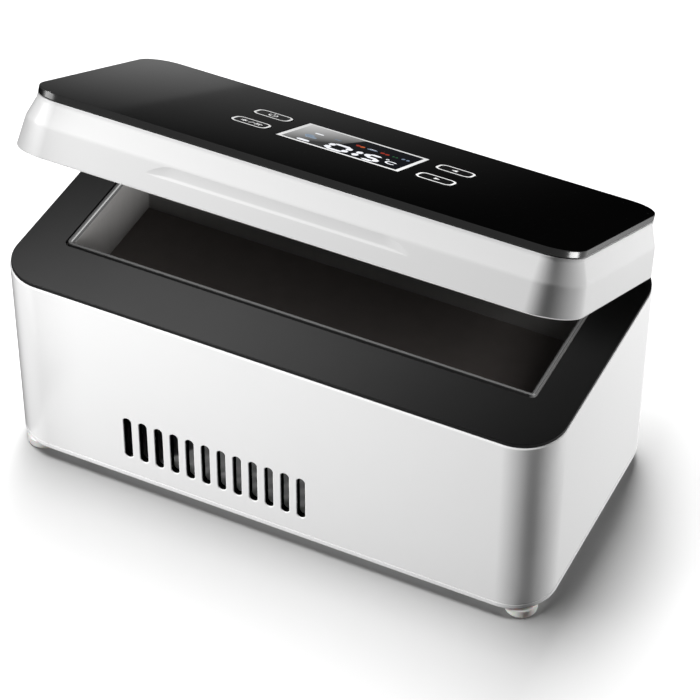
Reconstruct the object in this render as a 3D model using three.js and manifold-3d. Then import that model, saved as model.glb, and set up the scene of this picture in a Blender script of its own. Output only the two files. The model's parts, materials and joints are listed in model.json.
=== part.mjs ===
import * as THREE from 'three';
import { mergeVertices } from 'three/addons/utils/BufferGeometryUtils.js';
import Module from 'manifold-3d';

// A small powered cooling case with a hinged lid, in millimetres, with Z up.
// The front, where the lid lifts, faces -Y. Levels are heights above the surface it stands on.

// Case
const bodyLength = 207;
const bodyWidth = 104;
const cornerRadius = 16.3;
const caseHeight = 78.7; // underside of the base cover to the top of the rim
const shellWall = 2.4;
const seam = 0.2; // open line between pieces that meet edge to edge
const fit = 0.3; // clearance round a piece that sits in another

// Feet and base cover
const footHeight = 4.5;
const footRadius = 5.8;
const footRound = 1.8;
const footInsetX = 9.5;
const footInsetY = 8.3;
const footPegRadius = 1.8;
const coverHeight = 3;
const coverFloor = 2.2;
const coverBevel = 1.2;
const tongueHeight = 2.5;
const tongueWall = 1.6;
const intakeCount = 9;
const intakePitch = 6;
const intakeWidth = 3;
const intakeLength = 46;

// Screws
const coverScrewInsetX = 31.5;
const coverScrewInsetY = 8;
const coverScrewRadius = 1.3;
const coverScrewLength = 13;
const coverHeadRadius = 2.7;
const coverHeadHeight = 1.8;
const coverHeadDepth = 1.4; // how far the head is sunk below the underside
const screwTowerRadius = 4.6;
const screwBossRadius = 3.2;
const screwBossHeight = 16;
const screwHoleDepth = 11;
const bossRibThickness = 2.4;
const driverWidth = 0.4;
const driverDepth = 0.9;
const smallScrewRadius = 0.95;
const smallScrewLength = 6;
const smallHeadRadius = 2;
const smallHeadHeight = 1.2;

// Vents in the front wall
const ventCount = 12;
const ventPitch = 6.15;
const ventWidth = 3.1;
const ventHeight = 18.7;
const ventRise = 10.9; // underside of the base cover to the foot of a slot
const ventCentreX = -19.65;

// Rim, well and trim
const rimThickness = 1.4;
const rimInset = 0.4;
const rimFlangeWall = 2;
const rimFlangeHeight = 6;
const wellLength = 176.4; // outside of the tray
const wellWidth = 56.8;
const wellDepth = 24.5; // rim to tray floor
const wellCorner = 2;
const trayWall = 1.6;
const trimHeight = 2;
const trimProud = 0.4;

// Cooling stack
const intakeGap = 7; // base cover floor to the underside of the fan
const fanSize = 60;
const fanThickness = 10;
const fanWall = 1.6; // at the middle of a side
const fanHubRadius = 10;
const fanBladeCount = 7;
const fanBladeThickness = 1.2;
const fanBladePitch = 38; // degrees
const fanTipGap = 0.8;
const fanBaseThickness = 2;
const fanStrutWidth = 3;
const sinkLength = 68;
const sinkWidth = 62;
const sinkBase = 4;
const finHeight = 17;
const finCount = 12;
const finThickness = 1.4;
const moduleSize = 40;
const moduleThickness = 3.8;
const insulationGap = 2.8; // shell to body insulation, where the leads run

// Battery, main board and power socket, set from the right-hand and back walls
const cellRadius = 9.1;
const cellLength = 65;
const cellCount = 3;
const cellGap = 1.2;
const batteryWallGap = 4; // tongue of the base cover to the holder
const holderFloor = 1.5;
const holderHeight = 8;
const holderEnd = 2;
const boardLength = 60;
const boardThickness = 1.6;
const boardWallGap = 5; // right-hand wall to the board
const boardBackGap = 9.6; // back wall to the board
const boardLift = 3; // cells to the underside of the board
const postRadius = 2.2;
const postInset = 2.8;
const postGap = 0.5; // battery holder to the posts in front of it and behind it
const postHoleDepth = 8;
const socketWidth = 9;
const socketDepth = 14;
const socketHeight = 11;
const socketSetIn = 14; // board's left edge to the socket's middle
const socketNoseRadius = 4.3;
const socketBoreRadius = 3.2;
const socketBoreDepth = 9;
const socketPinRadius = 1;

// Lid, drawn closed and then turned about its hinge
const lidOpen = 27.9; // degrees, as the case stands
const lidGap = 0.3; // rim to the lid's lower edge when closed
const lidBreakRise = 10.95;
const lidRise = 19.3;
const lidFootInset = 0.63;
const lidBreakInset = 1.95;
const lidTopInset = 4.5;
const lidWall = 2.2;
const deckThickness = 2.2;
const hingeInset = 3.75;
const hingeRise = 3.1;
const hingeX = 60;
const rimKnuckleLength = 16;
const lidKnuckleLength = 8;
const pinRadius = 1;
const scoopCentreX = -1.5;
const scoopTopLength = 77;
const scoopFootLength = 95;
const scoopDepth = 2.6;
const scoopFootRise = 0.8;
const padMargin = 4;

// Lid liner, gasket and magnets
const linerLift = 1.5; // rim to the underside of the liner when closed
const linerThickness = 2;
const linerScrewInsetX = 6.5;
const linerScrewY = 35;
const linerBossRadius = 2.6;
const linerHeadDepth = 0.8;
const gasketOffset = 1.7;
const gasketWidth = 2.6;
const gasketClear = 0.4; // rim to the gasket when closed
const gasketGroove = 1;
const lidInsulationMargin = 15;
const lidInsulationFrontGap = 0.8; // magnets to the insulation
const lidInsulationBackGap = 3.85; // insulation to the liner's back edge, where the lead turns down
const magnetX = 66;
const magnetLength = 12;
const magnetWidth = 5;
const magnetThickness = 2;

// Control panel
const panelThickness = 2.6;
const panelInset = 4.9;
const panelBevel = 0.4;
const panelCentreY = 3.6;
const windowLength = 45.5;
const windowWidth = 29.7;
const keyLength = 13.5;
const keyWidth = 8.9;
const keyCorner = 3;
const keyWindowGap = 4.9; // display window to the keys beside it
const keyRowGap = 9.7; // between the two keys of a column
const keyTravel = 0.6;
const keyProud = 0.15;
const keyFlange = 0.8;
const keyFlangeThickness = 1;
const keyStemRadius = 1.6;
const switchSize = 6;
const switchHeight = 1.5;
const deckMarginX = 2.05; // keys to the ends of the opening in the deck
const deckMarginY = 3.45; // display to the sides of the opening in the deck
const deckCorner = 2;
const displayBoardMarginX = 4; // opening in the deck to the edge of the display board
const displayBoardMarginY = 4.5;
const displayBoardDrop = 2.6; // deck to the top of the display board
const displayMargin = 1.2;
const pegInsetX = 8;
const pegInsetY = 2.4;
const pegBossRadius = 1.6;
const pegRadius = 0.9;

// Leads
const thinLead = 0.7;
const powerLead = 0.9;
const leadBoreRadius = 1.9;
const leadKnuckleLength = 16;
const leadDropX = -4;
const leadBossLength = 9;
const leadChannel = 5;
const leadChannelReach = 15; // past the end of the heat sink
const leadLanding = 5;
const probeRadius = 1.3;
const probeLength = 4;
const probeY = 12;
const fanLeadY = -22;
const displayLeadX = 26;

// Curve steps; an arc of a shape is drawn with twice the steps given
const cornerSteps = 4;
const smallCornerSteps = 2;
const slotSteps = 1;
const roundSides = 20;
const smallSides = 8;
const leadStep = 2.5; // length of one straight piece of a lead
const slotEase = 0.01; // leaves a short straight between the rounds at a slot's ends
const mergeTolerance = 1e-4;

// Levels
const coverTop = footHeight + coverHeight;
const floorTop = footHeight + coverFloor;
const towerTop = coverTop + tongueHeight;
const shellBottom = coverTop + seam;
const rimTop = footHeight + caseHeight;
const rimBottom = rimTop - rimThickness;
const shellTop = rimBottom - seam;
const bossBottom = towerTop + fit;
const headSeat = footHeight + coverHeadDepth + coverHeadHeight + seam;
const trimTop = rimTop + trimProud;
const trimBottom = trimTop - trimHeight;
const trayTop = trimBottom - seam;
const trayBottom = rimTop - wellDepth - trayWall;
const fanBottom = floorTop + intakeGap;
const fanTop = fanBottom + fanThickness;
const finBottom = fanTop + fit;
const sinkBottom = finBottom + finHeight;
const sinkTop = sinkBottom + sinkBase;
const moduleBottom = sinkTop + seam;
const moduleTop = moduleBottom + moduleThickness;
const insulationBottom = sinkTop + 2 * fit;
const insulationTop = rimBottom - fit;
const cellCentre = floorTop + seam + holderFloor + seam + cellRadius;
const boardBottom = cellCentre + cellRadius + boardLift;
const boardTop = boardBottom + boardThickness;
const lidBottom = rimTop + lidGap;
const breakLevel = rimTop + lidBreakRise;
const lidTop = rimTop + lidRise;
const deckBottom = lidTop - deckThickness;
const panelBottom = lidTop + seam;
const panelTop = panelBottom + panelThickness;
const linerBottom = rimTop + linerLift;
const linerTop = linerBottom + linerThickness;
const displayBoardTop = deckBottom - displayBoardDrop;
const displayBoardBottom = displayBoardTop - boardThickness;
const keyFlangeTop = panelBottom - fit;
const keyFlangeBottom = keyFlangeTop - keyFlangeThickness;
const switchBottom = displayBoardTop + fit;
const switchTop = switchBottom + switchHeight;
const hingeZ = rimTop + hingeRise;

// Places
const hingeY = bodyWidth / 2 - hingeInset;
const knuckleRadius = hingeRise - fit;
const innerBack = bodyWidth / 2 - shellWall;
const cellPitch = 2 * cellRadius + cellGap;
const holderLength = cellCount * cellPitch;
const holderWidth = cellLength + 2 * holderEnd;
const boardWidth = holderWidth + 2 * (postGap + postRadius + postInset);
const boardRight = bodyLength / 2 - shellWall - boardWallGap;
const boardLeft = boardRight - boardLength;
const boardBack = innerBack - boardBackGap;
const boardFront = boardBack - boardWidth;
const batteryRight = bodyLength / 2 - shellWall - fit - tongueWall - batteryWallGap;
const batteryX = batteryRight - holderLength / 2;
const batteryY = (boardFront + boardBack) / 2;
const socketX = boardLeft + socketSetIn;
const socketBottom = boardTop + fit;
const socketTop = socketBottom + socketHeight;
const socketLevel = (socketBottom + socketTop) / 2;
const socketBack = innerBack - 2 * fit;
const socketFront = socketBack - socketDepth;
const landingX = boardLeft + leadLanding;
const linerBack = hingeY - knuckleRadius - 2 * fit;
const padBack = -bodyWidth / 2 + lidFootInset + scoopDepth + lidWall;
const padHalf = scoopFootLength / 2 + padMargin;
const magnetFront = padBack + fit;
const lidInsulationFront = magnetFront + magnetWidth + lidInsulationFrontGap;
const lidInsulationBack = linerBack - lidInsulationBackGap;
const fanBoreRadius = fanSize / 2 - fanWall;
const keyX = windowLength / 2 + keyWindowGap + keyLength / 2;
const keyRow = (keyWidth + keyRowGap) / 2;
const keyReach = keyRow + keyWidth / 2 + keyFlange;
const displayReach = windowWidth / 2 + displayMargin;
const deckOpeningLength = 2 * (keyX + keyLength / 2 + keyFlange + deckMarginX);
const deckOpeningWidth = 2 * (Math.max(displayReach, keyReach) + deckMarginY);
const displayBoardLength = deckOpeningLength + 2 * displayBoardMarginX;
const displayBoardWidth = deckOpeningWidth + 2 * displayBoardMarginY;
const past = 5; // how far a cut runs past what it cuts

const wasm = await Module();
wasm.setup();

// Solids

function solid(geometry) {
  const bare = geometry.index ? geometry.toNonIndexed() : geometry.clone();
  bare.deleteAttribute('normal');
  bare.deleteAttribute('uv');
  const merged = mergeVertices(bare, mergeTolerance);
  const corners = merged.index.array;
  const triangles = [];
  for (let i = 0; i < corners.length; i += 3) {
    const [a, b, c] = [corners[i], corners[i + 1], corners[i + 2]];
    if (a !== b && b !== c && c !== a) triangles.push(a, b, c);
  }
  return new wasm.Manifold(new wasm.Mesh({
    numProp: 3,
    vertProperties: new Float32Array(merged.attributes.position.array),
    triVerts: new Uint32Array(triangles),
  }));
}

function geometryOf(shape) {
  const mesh = shape.getMesh();
  const geometry = new THREE.BufferGeometry();
  geometry.setAttribute('position', new THREE.BufferAttribute(new Float32Array(mesh.vertProperties), 3));
  geometry.setIndex(new THREE.BufferAttribute(new Uint32Array(mesh.triVerts), 1));
  geometry.computeVertexNormals();
  return geometry;
}

const join = (first, ...others) => others.reduce((whole, piece) => whole.add(piece), first);
const cut = (first, ...cutters) => cutters.reduce((whole, cutter) => whole.subtract(cutter), first);

function block(x0, x1, y0, y1, z0, z1) {
  const geometry = new THREE.BoxGeometry(x1 - x0, y1 - y0, z1 - z0);
  geometry.translate((x0 + x1) / 2, (y0 + y1) / 2, (z0 + z1) / 2);
  return solid(geometry);
}

function rodX(radius, y, z, x0, x1, sides = smallSides) {
  const geometry = new THREE.CylinderGeometry(radius, radius, x1 - x0, sides);
  geometry.rotateZ(Math.PI / 2);
  geometry.translate((x0 + x1) / 2, y, z);
  return solid(geometry);
}

function rodY(radius, x, z, y0, y1, sides = smallSides) {
  const geometry = new THREE.CylinderGeometry(radius, radius, y1 - y0, sides);
  geometry.translate(x, (y0 + y1) / 2, z);
  return solid(geometry);
}

function rodZ(radius, x, y, z0, z1, sides = smallSides) {
  const geometry = new THREE.CylinderGeometry(radius, radius, z1 - z0, sides);
  geometry.rotateX(Math.PI / 2);
  geometry.translate(x, y, (z0 + z1) / 2);
  return solid(geometry);
}

// Upright rods of one size, one at each place
const rodsZ = (radius, places, z0, z1, sides) => places.map(([x, y]) => rodZ(radius, x, y, z0, z1, sides));

function roundedRectangle(length, width, radius, centreX = 0, centreY = 0) {
  const x = length / 2 - radius;
  const y = width / 2 - radius;
  const shape = new THREE.Shape();
  shape.absarc(centreX + x, centreY - y, radius, -Math.PI / 2, 0);
  shape.absarc(centreX + x, centreY + y, radius, 0, Math.PI / 2);
  shape.absarc(centreX - x, centreY + y, radius, Math.PI / 2, Math.PI);
  shape.absarc(centreX - x, centreY - y, radius, Math.PI, 1.5 * Math.PI);
  return shape;
}

function extrusion(shape, depth, curveSegments) {
  return new THREE.ExtrudeGeometry(shape, { depth, curveSegments, bevelEnabled: false });
}

function prism(shape, z0, z1, steps = cornerSteps) {
  const geometry = extrusion(shape, z1 - z0, steps);
  geometry.translate(0, 0, z0);
  return solid(geometry);
}

// A shape drawn in X and Z, standing between two planes of constant Y
function prismY(shape, y0, y1, steps = slotSteps) {
  const geometry = extrusion(shape, y1 - y0, steps);
  geometry.rotateX(Math.PI / 2);
  geometry.translate(0, y1, 0);
  return solid(geometry);
}

// A shape drawn in Y and Z, standing between two planes of constant X
function prismX(shape, x0, x1, steps = slotSteps) {
  const geometry = extrusion(shape, x1 - x0, steps);
  const turn = new THREE.Matrix4().makeBasis(
    new THREE.Vector3(0, 1, 0), new THREE.Vector3(0, 0, 1), new THREE.Vector3(1, 0, 0),
  );
  geometry.applyMatrix4(turn);
  geometry.translate(x0, 0, 0);
  return solid(geometry);
}

// The case's plan outline, drawn in by an inset
const plan = (inset) => roundedRectangle(bodyLength - 2 * inset, bodyWidth - 2 * inset, cornerRadius - inset);

// A solid whose plan outline changes from level to level
function stack(sections) {
  const rings = sections.map(({ inset }) => plan(inset).getPoints(cornerSteps));
  const count = rings[0].length;
  const vertices = sections.flatMap(({ level }, k) => rings[k].flatMap((point) => [point.x, point.y, level]));
  const triangles = [];
  for (let k = 0; k + 1 < rings.length; k += 1) {
    for (let i = 0; i < count; i += 1) {
      const j = (i + 1) % count;
      const [low, high] = [k * count, (k + 1) * count];
      triangles.push(low + i, low + j, high + j, low + i, high + j, high + i);
    }
  }
  const last = (rings.length - 1) * count;
  for (let i = 1; i + 1 < count; i += 1) {
    triangles.push(0, i + 1, i, last, last + i, last + i + 1);
  }
  const geometry = new THREE.BufferGeometry();
  geometry.setAttribute('position', new THREE.Float32BufferAttribute(vertices, 3));
  geometry.setIndex(triangles);
  return solid(geometry);
}

function lead(points, radius) {
  const path = new THREE.CatmullRomCurve3(points.map((point) => new THREE.Vector3(...point)));
  const section = new THREE.Shape().absarc(0, 0, radius, 0, 2 * Math.PI);
  return solid(new THREE.ExtrudeGeometry(section, {
    steps: Math.ceil(path.getLength() / leadStep), extrudePath: path, curveSegments: smallSides / 2,
  }));
}

const corners = [[-1, -1], [1, -1], [1, 1], [-1, 1]];
const cornerNames = ['front_left', 'front_right', 'back_right', 'back_left'];
const spread = (count, pitch) => Array.from({ length: count }, (_, i) => (i - (count - 1) / 2) * pitch);

// The corners of a rectangle, in the order of the corner names
const cornerPlaces = (centreX, centreY, reachX, reachY) => (
  corners.map(([x, y]) => [centreX + x * reachX, centreY + y * reachY])
);
const footPlaces = cornerPlaces(0, 0, bodyLength / 2 - footInsetX, bodyWidth / 2 - footInsetY);
const coverScrewPlaces = cornerPlaces(
  0, 0, bodyLength / 2 - coverScrewInsetX, bodyWidth / 2 - coverScrewInsetY,
);
const postPlaces = cornerPlaces(
  (boardLeft + boardRight) / 2, batteryY, boardLength / 2 - postInset, boardWidth / 2 - postInset,
);
const linerScrewPlaces = cornerPlaces(0, 0, bodyLength / 2 - linerScrewInsetX, linerScrewY);
const pegPlaces = cornerPlaces(
  0, panelCentreY, displayBoardLength / 2 - pegInsetX, displayBoardWidth / 2 - pegInsetY,
);
const keyPlaces = {
  power: [-keyX, panelCentreY + keyRow],
  mode: [-keyX, panelCentreY - keyRow],
  up: [keyX, panelCentreY + keyRow],
  down: [keyX, panelCentreY - keyRow],
};
const hingePlaces = { left: -hingeX, right: hingeX };

// Base and feet

function makeFoot([x, y]) {
  const rim = new THREE.Path();
  rim.moveTo(0, 0);
  rim.lineTo(footRadius - footRound, 0);
  rim.absarc(footRadius - footRound, footRound, footRound, -Math.PI / 2, 0);
  rim.lineTo(footRadius, footHeight - seam);
  rim.lineTo(footPegRadius, footHeight - seam);
  rim.lineTo(footPegRadius, floorTop);
  rim.lineTo(0, floorTop);
  const geometry = new THREE.LatheGeometry(rim.getPoints(slotSteps), roundSides);
  geometry.rotateX(Math.PI / 2);
  geometry.translate(x, y, 0);
  return solid(geometry);
}

function makeBaseCover() {
  const dish = stack([
    { inset: coverBevel, level: footHeight },
    { inset: 0, level: footHeight + coverBevel },
    { inset: 0, level: coverTop },
  ]);
  const tongueInset = shellWall + fit;
  const tongue = prism(plan(tongueInset), floorTop, towerTop);
  const pocket = prism(plan(tongueInset + tongueWall), floorTop, towerTop + past);
  const towers = rodsZ(screwTowerRadius, coverScrewPlaces, footHeight + seam, towerTop, roundSides);
  const posts = rodsZ(postRadius, postPlaces, footHeight + seam, boardBottom - seam);
  const holes = [
    ...rodsZ(footPegRadius + fit, footPlaces, footHeight - past, floorTop + past),
    ...rodsZ(coverHeadRadius + fit, coverScrewPlaces, footHeight - past, headSeat),
    ...rodsZ(coverScrewRadius + fit, coverScrewPlaces, footHeight, towerTop + past),
    ...rodsZ(smallScrewRadius + fit, postPlaces, boardBottom - postHoleDepth, boardBottom + past),
  ];
  const intakes = spread(intakeCount, intakePitch).map((offset) => prism(
    roundedRectangle(intakeWidth, intakeLength, intakeWidth / 2 - slotEase, ventCentreX + offset),
    footHeight - past, floorTop + past, slotSteps,
  ));
  const hollow = cut(join(dish, tongue), pocket);
  return cut(join(hollow, ...towers, ...posts), ...holes, ...intakes);
}

function makeCoverScrew([x, y]) {
  const headBottom = footHeight + coverHeadDepth;
  const headTop = headBottom + coverHeadHeight;
  const head = rodZ(coverHeadRadius, x, y, headBottom, headTop);
  const shank = rodZ(coverScrewRadius, x, y, headBottom + seam, headTop + coverScrewLength);
  const [reach, side] = [coverHeadRadius / 2, driverWidth / 2];
  const slotTop = headBottom + driverDepth;
  const slots = [
    block(x - reach, x + reach, y - side, y + side, footHeight, slotTop),
    block(x - side, x + side, y - reach, y + reach, footHeight, slotTop),
  ];
  return cut(join(head, shank), ...slots);
}

// Shell and rim

function makeBodyShell() {
  const outer = prism(plan(0), shellBottom, shellTop);
  const inner = prism(plan(shellWall), shellBottom - past, shellTop + past);
  const bossTop = bossBottom + screwBossHeight;
  const bosses = rodsZ(screwBossRadius, coverScrewPlaces, bossBottom, bossTop);
  const ribs = coverScrewPlaces.map(([x, y]) => {
    const reach = Math.sign(y) * (innerBack + seam);
    const side = bossRibThickness / 2;
    return block(x - side, x + side, Math.min(y, reach), Math.max(y, reach), bossBottom, bossTop);
  });
  const screwHoles = rodsZ(
    coverScrewRadius + fit, coverScrewPlaces, bossBottom - past, bossBottom + screwHoleDepth,
  );
  const ventCentreZ = footHeight + ventRise + ventHeight / 2;
  const vents = spread(ventCount, ventPitch).map((offset) => prismY(
    roundedRectangle(ventWidth, ventHeight, ventWidth / 2 - slotEase, ventCentreX + offset, ventCentreZ),
    -bodyWidth / 2 - past, -innerBack + past,
  ));
  const socketHole = rodY(
    socketNoseRadius + fit, socketX, socketLevel, innerBack - past, bodyWidth / 2 + past, roundSides,
  );
  const tube = cut(outer, inner);
  return cut(join(tube, ...bosses, ...ribs), ...screwHoles, ...vents, socketHole);
}

// A knuckle that stands on the rim and reaches round the hinge axis
function rimKnuckle(centreX, length) {
  const [x0, x1] = [centreX - length / 2, centreX + length / 2];
  const barrel = rodX(knuckleRadius, hingeY, hingeZ, x0, x1, roundSides);
  const web = block(x0, x1, hingeY - knuckleRadius, hingeY + knuckleRadius, rimBottom, hingeZ);
  return join(barrel, web);
}

function makeTopRim() {
  const plate = prism(plan(rimInset), rimBottom, rimTop);
  const flangeInset = shellWall + fit;
  const flange = cut(
    prism(plan(flangeInset), rimBottom - rimFlangeHeight, rimBottom + seam),
    prism(plan(flangeInset + rimFlangeWall), rimBottom - rimFlangeHeight - past, rimBottom),
  );
  const opening = prism(
    roundedRectangle(wellLength + 2 * fit, wellWidth + 2 * fit, wellCorner + fit),
    rimBottom - past, rimTop + past, smallCornerSteps,
  );
  const knuckles = Object.values(hingePlaces).map((x) => rimKnuckle(x, rimKnuckleLength));
  const leadKnuckle = rimKnuckle(0, leadKnuckleLength);
  const pinBores = Object.values(hingePlaces).map((x) => (
    rodX(pinRadius + fit, hingeY, hingeZ, x - rimKnuckleLength, x + rimKnuckleLength)
  ));
  const leadBore = rodX(leadBoreRadius, hingeY, hingeZ, -leadKnuckleLength, leadKnuckleLength);
  const leadDrop = rodZ(leadBoreRadius, leadDropX, hingeY, rimBottom - past, hingeZ);
  const leadNotch = block(
    leadDropX - leadBoreRadius, leadDropX + leadBoreRadius,
    hingeY - leadChannel, bodyWidth / 2, rimBottom - rimFlangeHeight - past, rimBottom - seam,
  );
  const frame = cut(join(plate, flange), opening);
  return cut(join(frame, ...knuckles, leadKnuckle), ...pinBores, leadBore, leadDrop, leadNotch);
}

function makeHingePin(x) {
  const reach = rimKnuckleLength / 2 + lidKnuckleLength;
  return rodX(pinRadius, hingeY, hingeZ, x - reach, x + reach);
}

// Well

const wellShape = (inset) => (
  roundedRectangle(wellLength - 2 * inset, wellWidth - 2 * inset, wellCorner - inset)
);

function makeWellTrim() {
  const outer = prism(wellShape(0), trimBottom, trimTop, smallCornerSteps);
  return cut(outer, prism(wellShape(trayWall), trimBottom - past, trimTop + past, smallCornerSteps));
}

function makeColdTray() {
  const outer = prism(wellShape(0), trayBottom, trayTop, smallCornerSteps);
  return cut(outer, prism(wellShape(trayWall), trayBottom + trayWall, trayTop + past, smallCornerSteps));
}

// Cooling stack

function makeColdBlock() {
  const half = moduleSize / 2;
  return block(ventCentreX - half, ventCentreX + half, -half, half, moduleTop + seam, trayBottom - seam);
}

function makePeltierModule() {
  const half = moduleSize / 2;
  return block(ventCentreX - half, ventCentreX + half, -half, half, moduleBottom, moduleTop);
}

function makeHeatSink() {
  const [left, right] = [ventCentreX - sinkLength / 2, ventCentreX + sinkLength / 2];
  const base = block(left, right, -sinkWidth / 2, sinkWidth / 2, sinkBottom, sinkTop);
  const pitch = (sinkLength - finThickness) / (finCount - 1);
  const fins = spread(finCount, pitch).map((offset) => {
    const [x0, x1] = [ventCentreX + offset - finThickness / 2, ventCentreX + offset + finThickness / 2];
    return block(x0, x1, -sinkWidth / 2, sinkWidth / 2, finBottom, sinkBottom + seam);
  });
  return join(base, ...fins);
}

function makeFanFrame() {
  const half = fanSize / 2;
  const frame = block(ventCentreX - half, ventCentreX + half, -half, half, fanBottom, fanTop);
  const bore = rodZ(fanBoreRadius, ventCentreX, 0, fanBottom - past, fanTop + past, roundSides);
  const baseTop = fanBottom + fanBaseThickness;
  const base = rodZ(fanHubRadius, ventCentreX, 0, fanBottom, baseTop, roundSides);
  const struts = [
    block(ventCentreX - half, ventCentreX + half, -fanStrutWidth / 2, fanStrutWidth / 2, fanBottom, baseTop),
    block(ventCentreX - fanStrutWidth / 2, ventCentreX + fanStrutWidth / 2, -half, half, fanBottom, baseTop),
  ];
  return join(cut(frame, bore), base, ...struts);
}

function makeFanRotor() {
  const bottom = fanBottom + fanBaseThickness + fanTipGap;
  const top = fanTop - fanTipGap;
  const hub = rodZ(fanHubRadius, 0, 0, bottom, top, roundSides);
  const reach = fanBoreRadius - fanTipGap;
  const sweep = rodZ(reach, 0, 0, bottom, top, roundSides);
  const blades = Array.from({ length: fanBladeCount }, (_, i) => {
    const blade = new THREE.BoxGeometry(fanBoreRadius, 2 * fanThickness, fanBladeThickness);
    blade.rotateX(THREE.MathUtils.degToRad(fanBladePitch));
    blade.translate(fanBoreRadius / 2 + fanHubRadius / 2, 0, (bottom + top) / 2);
    blade.rotateZ((2 * Math.PI * i) / fanBladeCount);
    return solid(blade).intersect(sweep);
  });
  return join(hub, ...blades).translate([ventCentreX, 0, 0]);
}

function makeBodyInsulation() {
  const outer = prism(plan(shellWall + insulationGap), insulationBottom, insulationTop);
  const trayHole = prism(
    roundedRectangle(wellLength + 2 * fit, wellWidth + 2 * fit, wellCorner + fit),
    trayBottom - fit, insulationTop + past, smallCornerSteps,
  );
  const half = moduleSize / 2 + fit;
  const blockHole = block(
    ventCentreX - half, ventCentreX + half, -half, half, insulationBottom - past, trayBottom,
  );
  const channelEnd = ventCentreX + sinkLength / 2 + leadChannelReach;
  const moduleChannel = block(
    ventCentreX, channelEnd, -leadChannel / 2, leadChannel / 2, insulationBottom - past, moduleTop + fit,
  );
  const probeChannel = block(
    ventCentreX, channelEnd, probeY - leadChannel / 2, probeY + leadChannel / 2,
    insulationBottom - past, trayBottom,
  );
  const socketRelief = block(
    socketX - socketWidth / 2 - fit, socketX + socketWidth / 2 + fit, socketFront - fit, bodyWidth / 2,
    boardTop, socketTop + fit,
  );
  const magnetPockets = Object.values(magnetPlaces).map((x) => rimMagnet(x, fit));
  return cut(outer, trayHole, blockHole, moduleChannel, probeChannel, socketRelief, ...magnetPockets);
}

// Battery and electronics

const cellPlaces = spread(cellCount, cellPitch).map((offset) => batteryX + offset);

function makeCell(x, clearance = 0, endClearance = 0) {
  const reach = cellLength / 2 + endClearance;
  return rodY(cellRadius + clearance, x, cellCentre, batteryY - reach, batteryY + reach, roundSides);
}

function makeBatteryHolder() {
  const bottom = floorTop + seam;
  const tray = block(
    batteryX - holderLength / 2, batteryX + holderLength / 2,
    batteryY - holderWidth / 2, batteryY + holderWidth / 2, bottom, bottom + holderHeight,
  );
  return cut(tray, ...cellPlaces.map((x) => makeCell(x, seam, fit)));
}

function makeMainBoard() {
  const board = block(boardLeft, boardRight, boardFront, boardBack, boardBottom, boardTop);
  return cut(board, ...rodsZ(smallScrewRadius + fit, postPlaces, boardBottom - past, boardTop + past));
}

function makeBoardScrew([x, y]) {
  const headBottom = boardTop + seam;
  const head = rodZ(smallHeadRadius, x, y, headBottom, headBottom + smallHeadHeight);
  return join(head, rodZ(smallScrewRadius, x, y, headBottom - smallScrewLength, headBottom + seam));
}

function makeDcSocket() {
  const noseBack = bodyWidth / 2 - fit;
  const housing = block(
    socketX - socketWidth / 2, socketX + socketWidth / 2, socketFront, socketBack, socketBottom, socketTop,
  );
  const nose = rodY(socketNoseRadius, socketX, socketLevel, socketBack - seam, noseBack, roundSides);
  const boreEnd = noseBack - socketBoreDepth;
  const bore = rodY(socketBoreRadius, socketX, socketLevel, boreEnd, noseBack + past, roundSides);
  const pin = rodY(socketPinRadius, socketX, socketLevel, boreEnd - seam, noseBack - 2 * seam);
  return join(cut(join(housing, nose), bore), pin);
}

// Lid

function lidInset(level) {
  const { mapLinear } = THREE.MathUtils;
  if (level < breakLevel) return mapLinear(level, rimTop, breakLevel, lidFootInset, lidBreakInset);
  return mapLinear(level, breakLevel, lidTop, lidBreakInset, lidTopInset);
}

const lidSection = (level, wall) => ({ inset: lidInset(level) + wall, level });

// The finger scoop: deepest under the break line and running out to the lower edge
function scoopCutter() {
  const face = (level) => -bodyWidth / 2 + lidInset(level);
  const foot = lidBottom + scoopFootRise;
  const front = new THREE.Shape([
    new THREE.Vector2(scoopCentreX - scoopFootLength / 2, foot),
    new THREE.Vector2(scoopCentreX + scoopFootLength / 2, foot),
    new THREE.Vector2(scoopCentreX + scoopTopLength / 2, breakLevel),
    new THREE.Vector2(scoopCentreX - scoopTopLength / 2, breakLevel),
  ]);
  const slope = new THREE.Shape([
    new THREE.Vector2(face(foot) - past, foot),
    new THREE.Vector2(face(foot), foot),
    new THREE.Vector2(face(breakLevel) + scoopDepth, breakLevel),
    new THREE.Vector2(face(breakLevel) - past, breakLevel),
  ]);
  const reach = bodyLength / 2;
  return prismY(front, -bodyWidth, 0).intersect(prismX(slope, -reach, reach));
}

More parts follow.
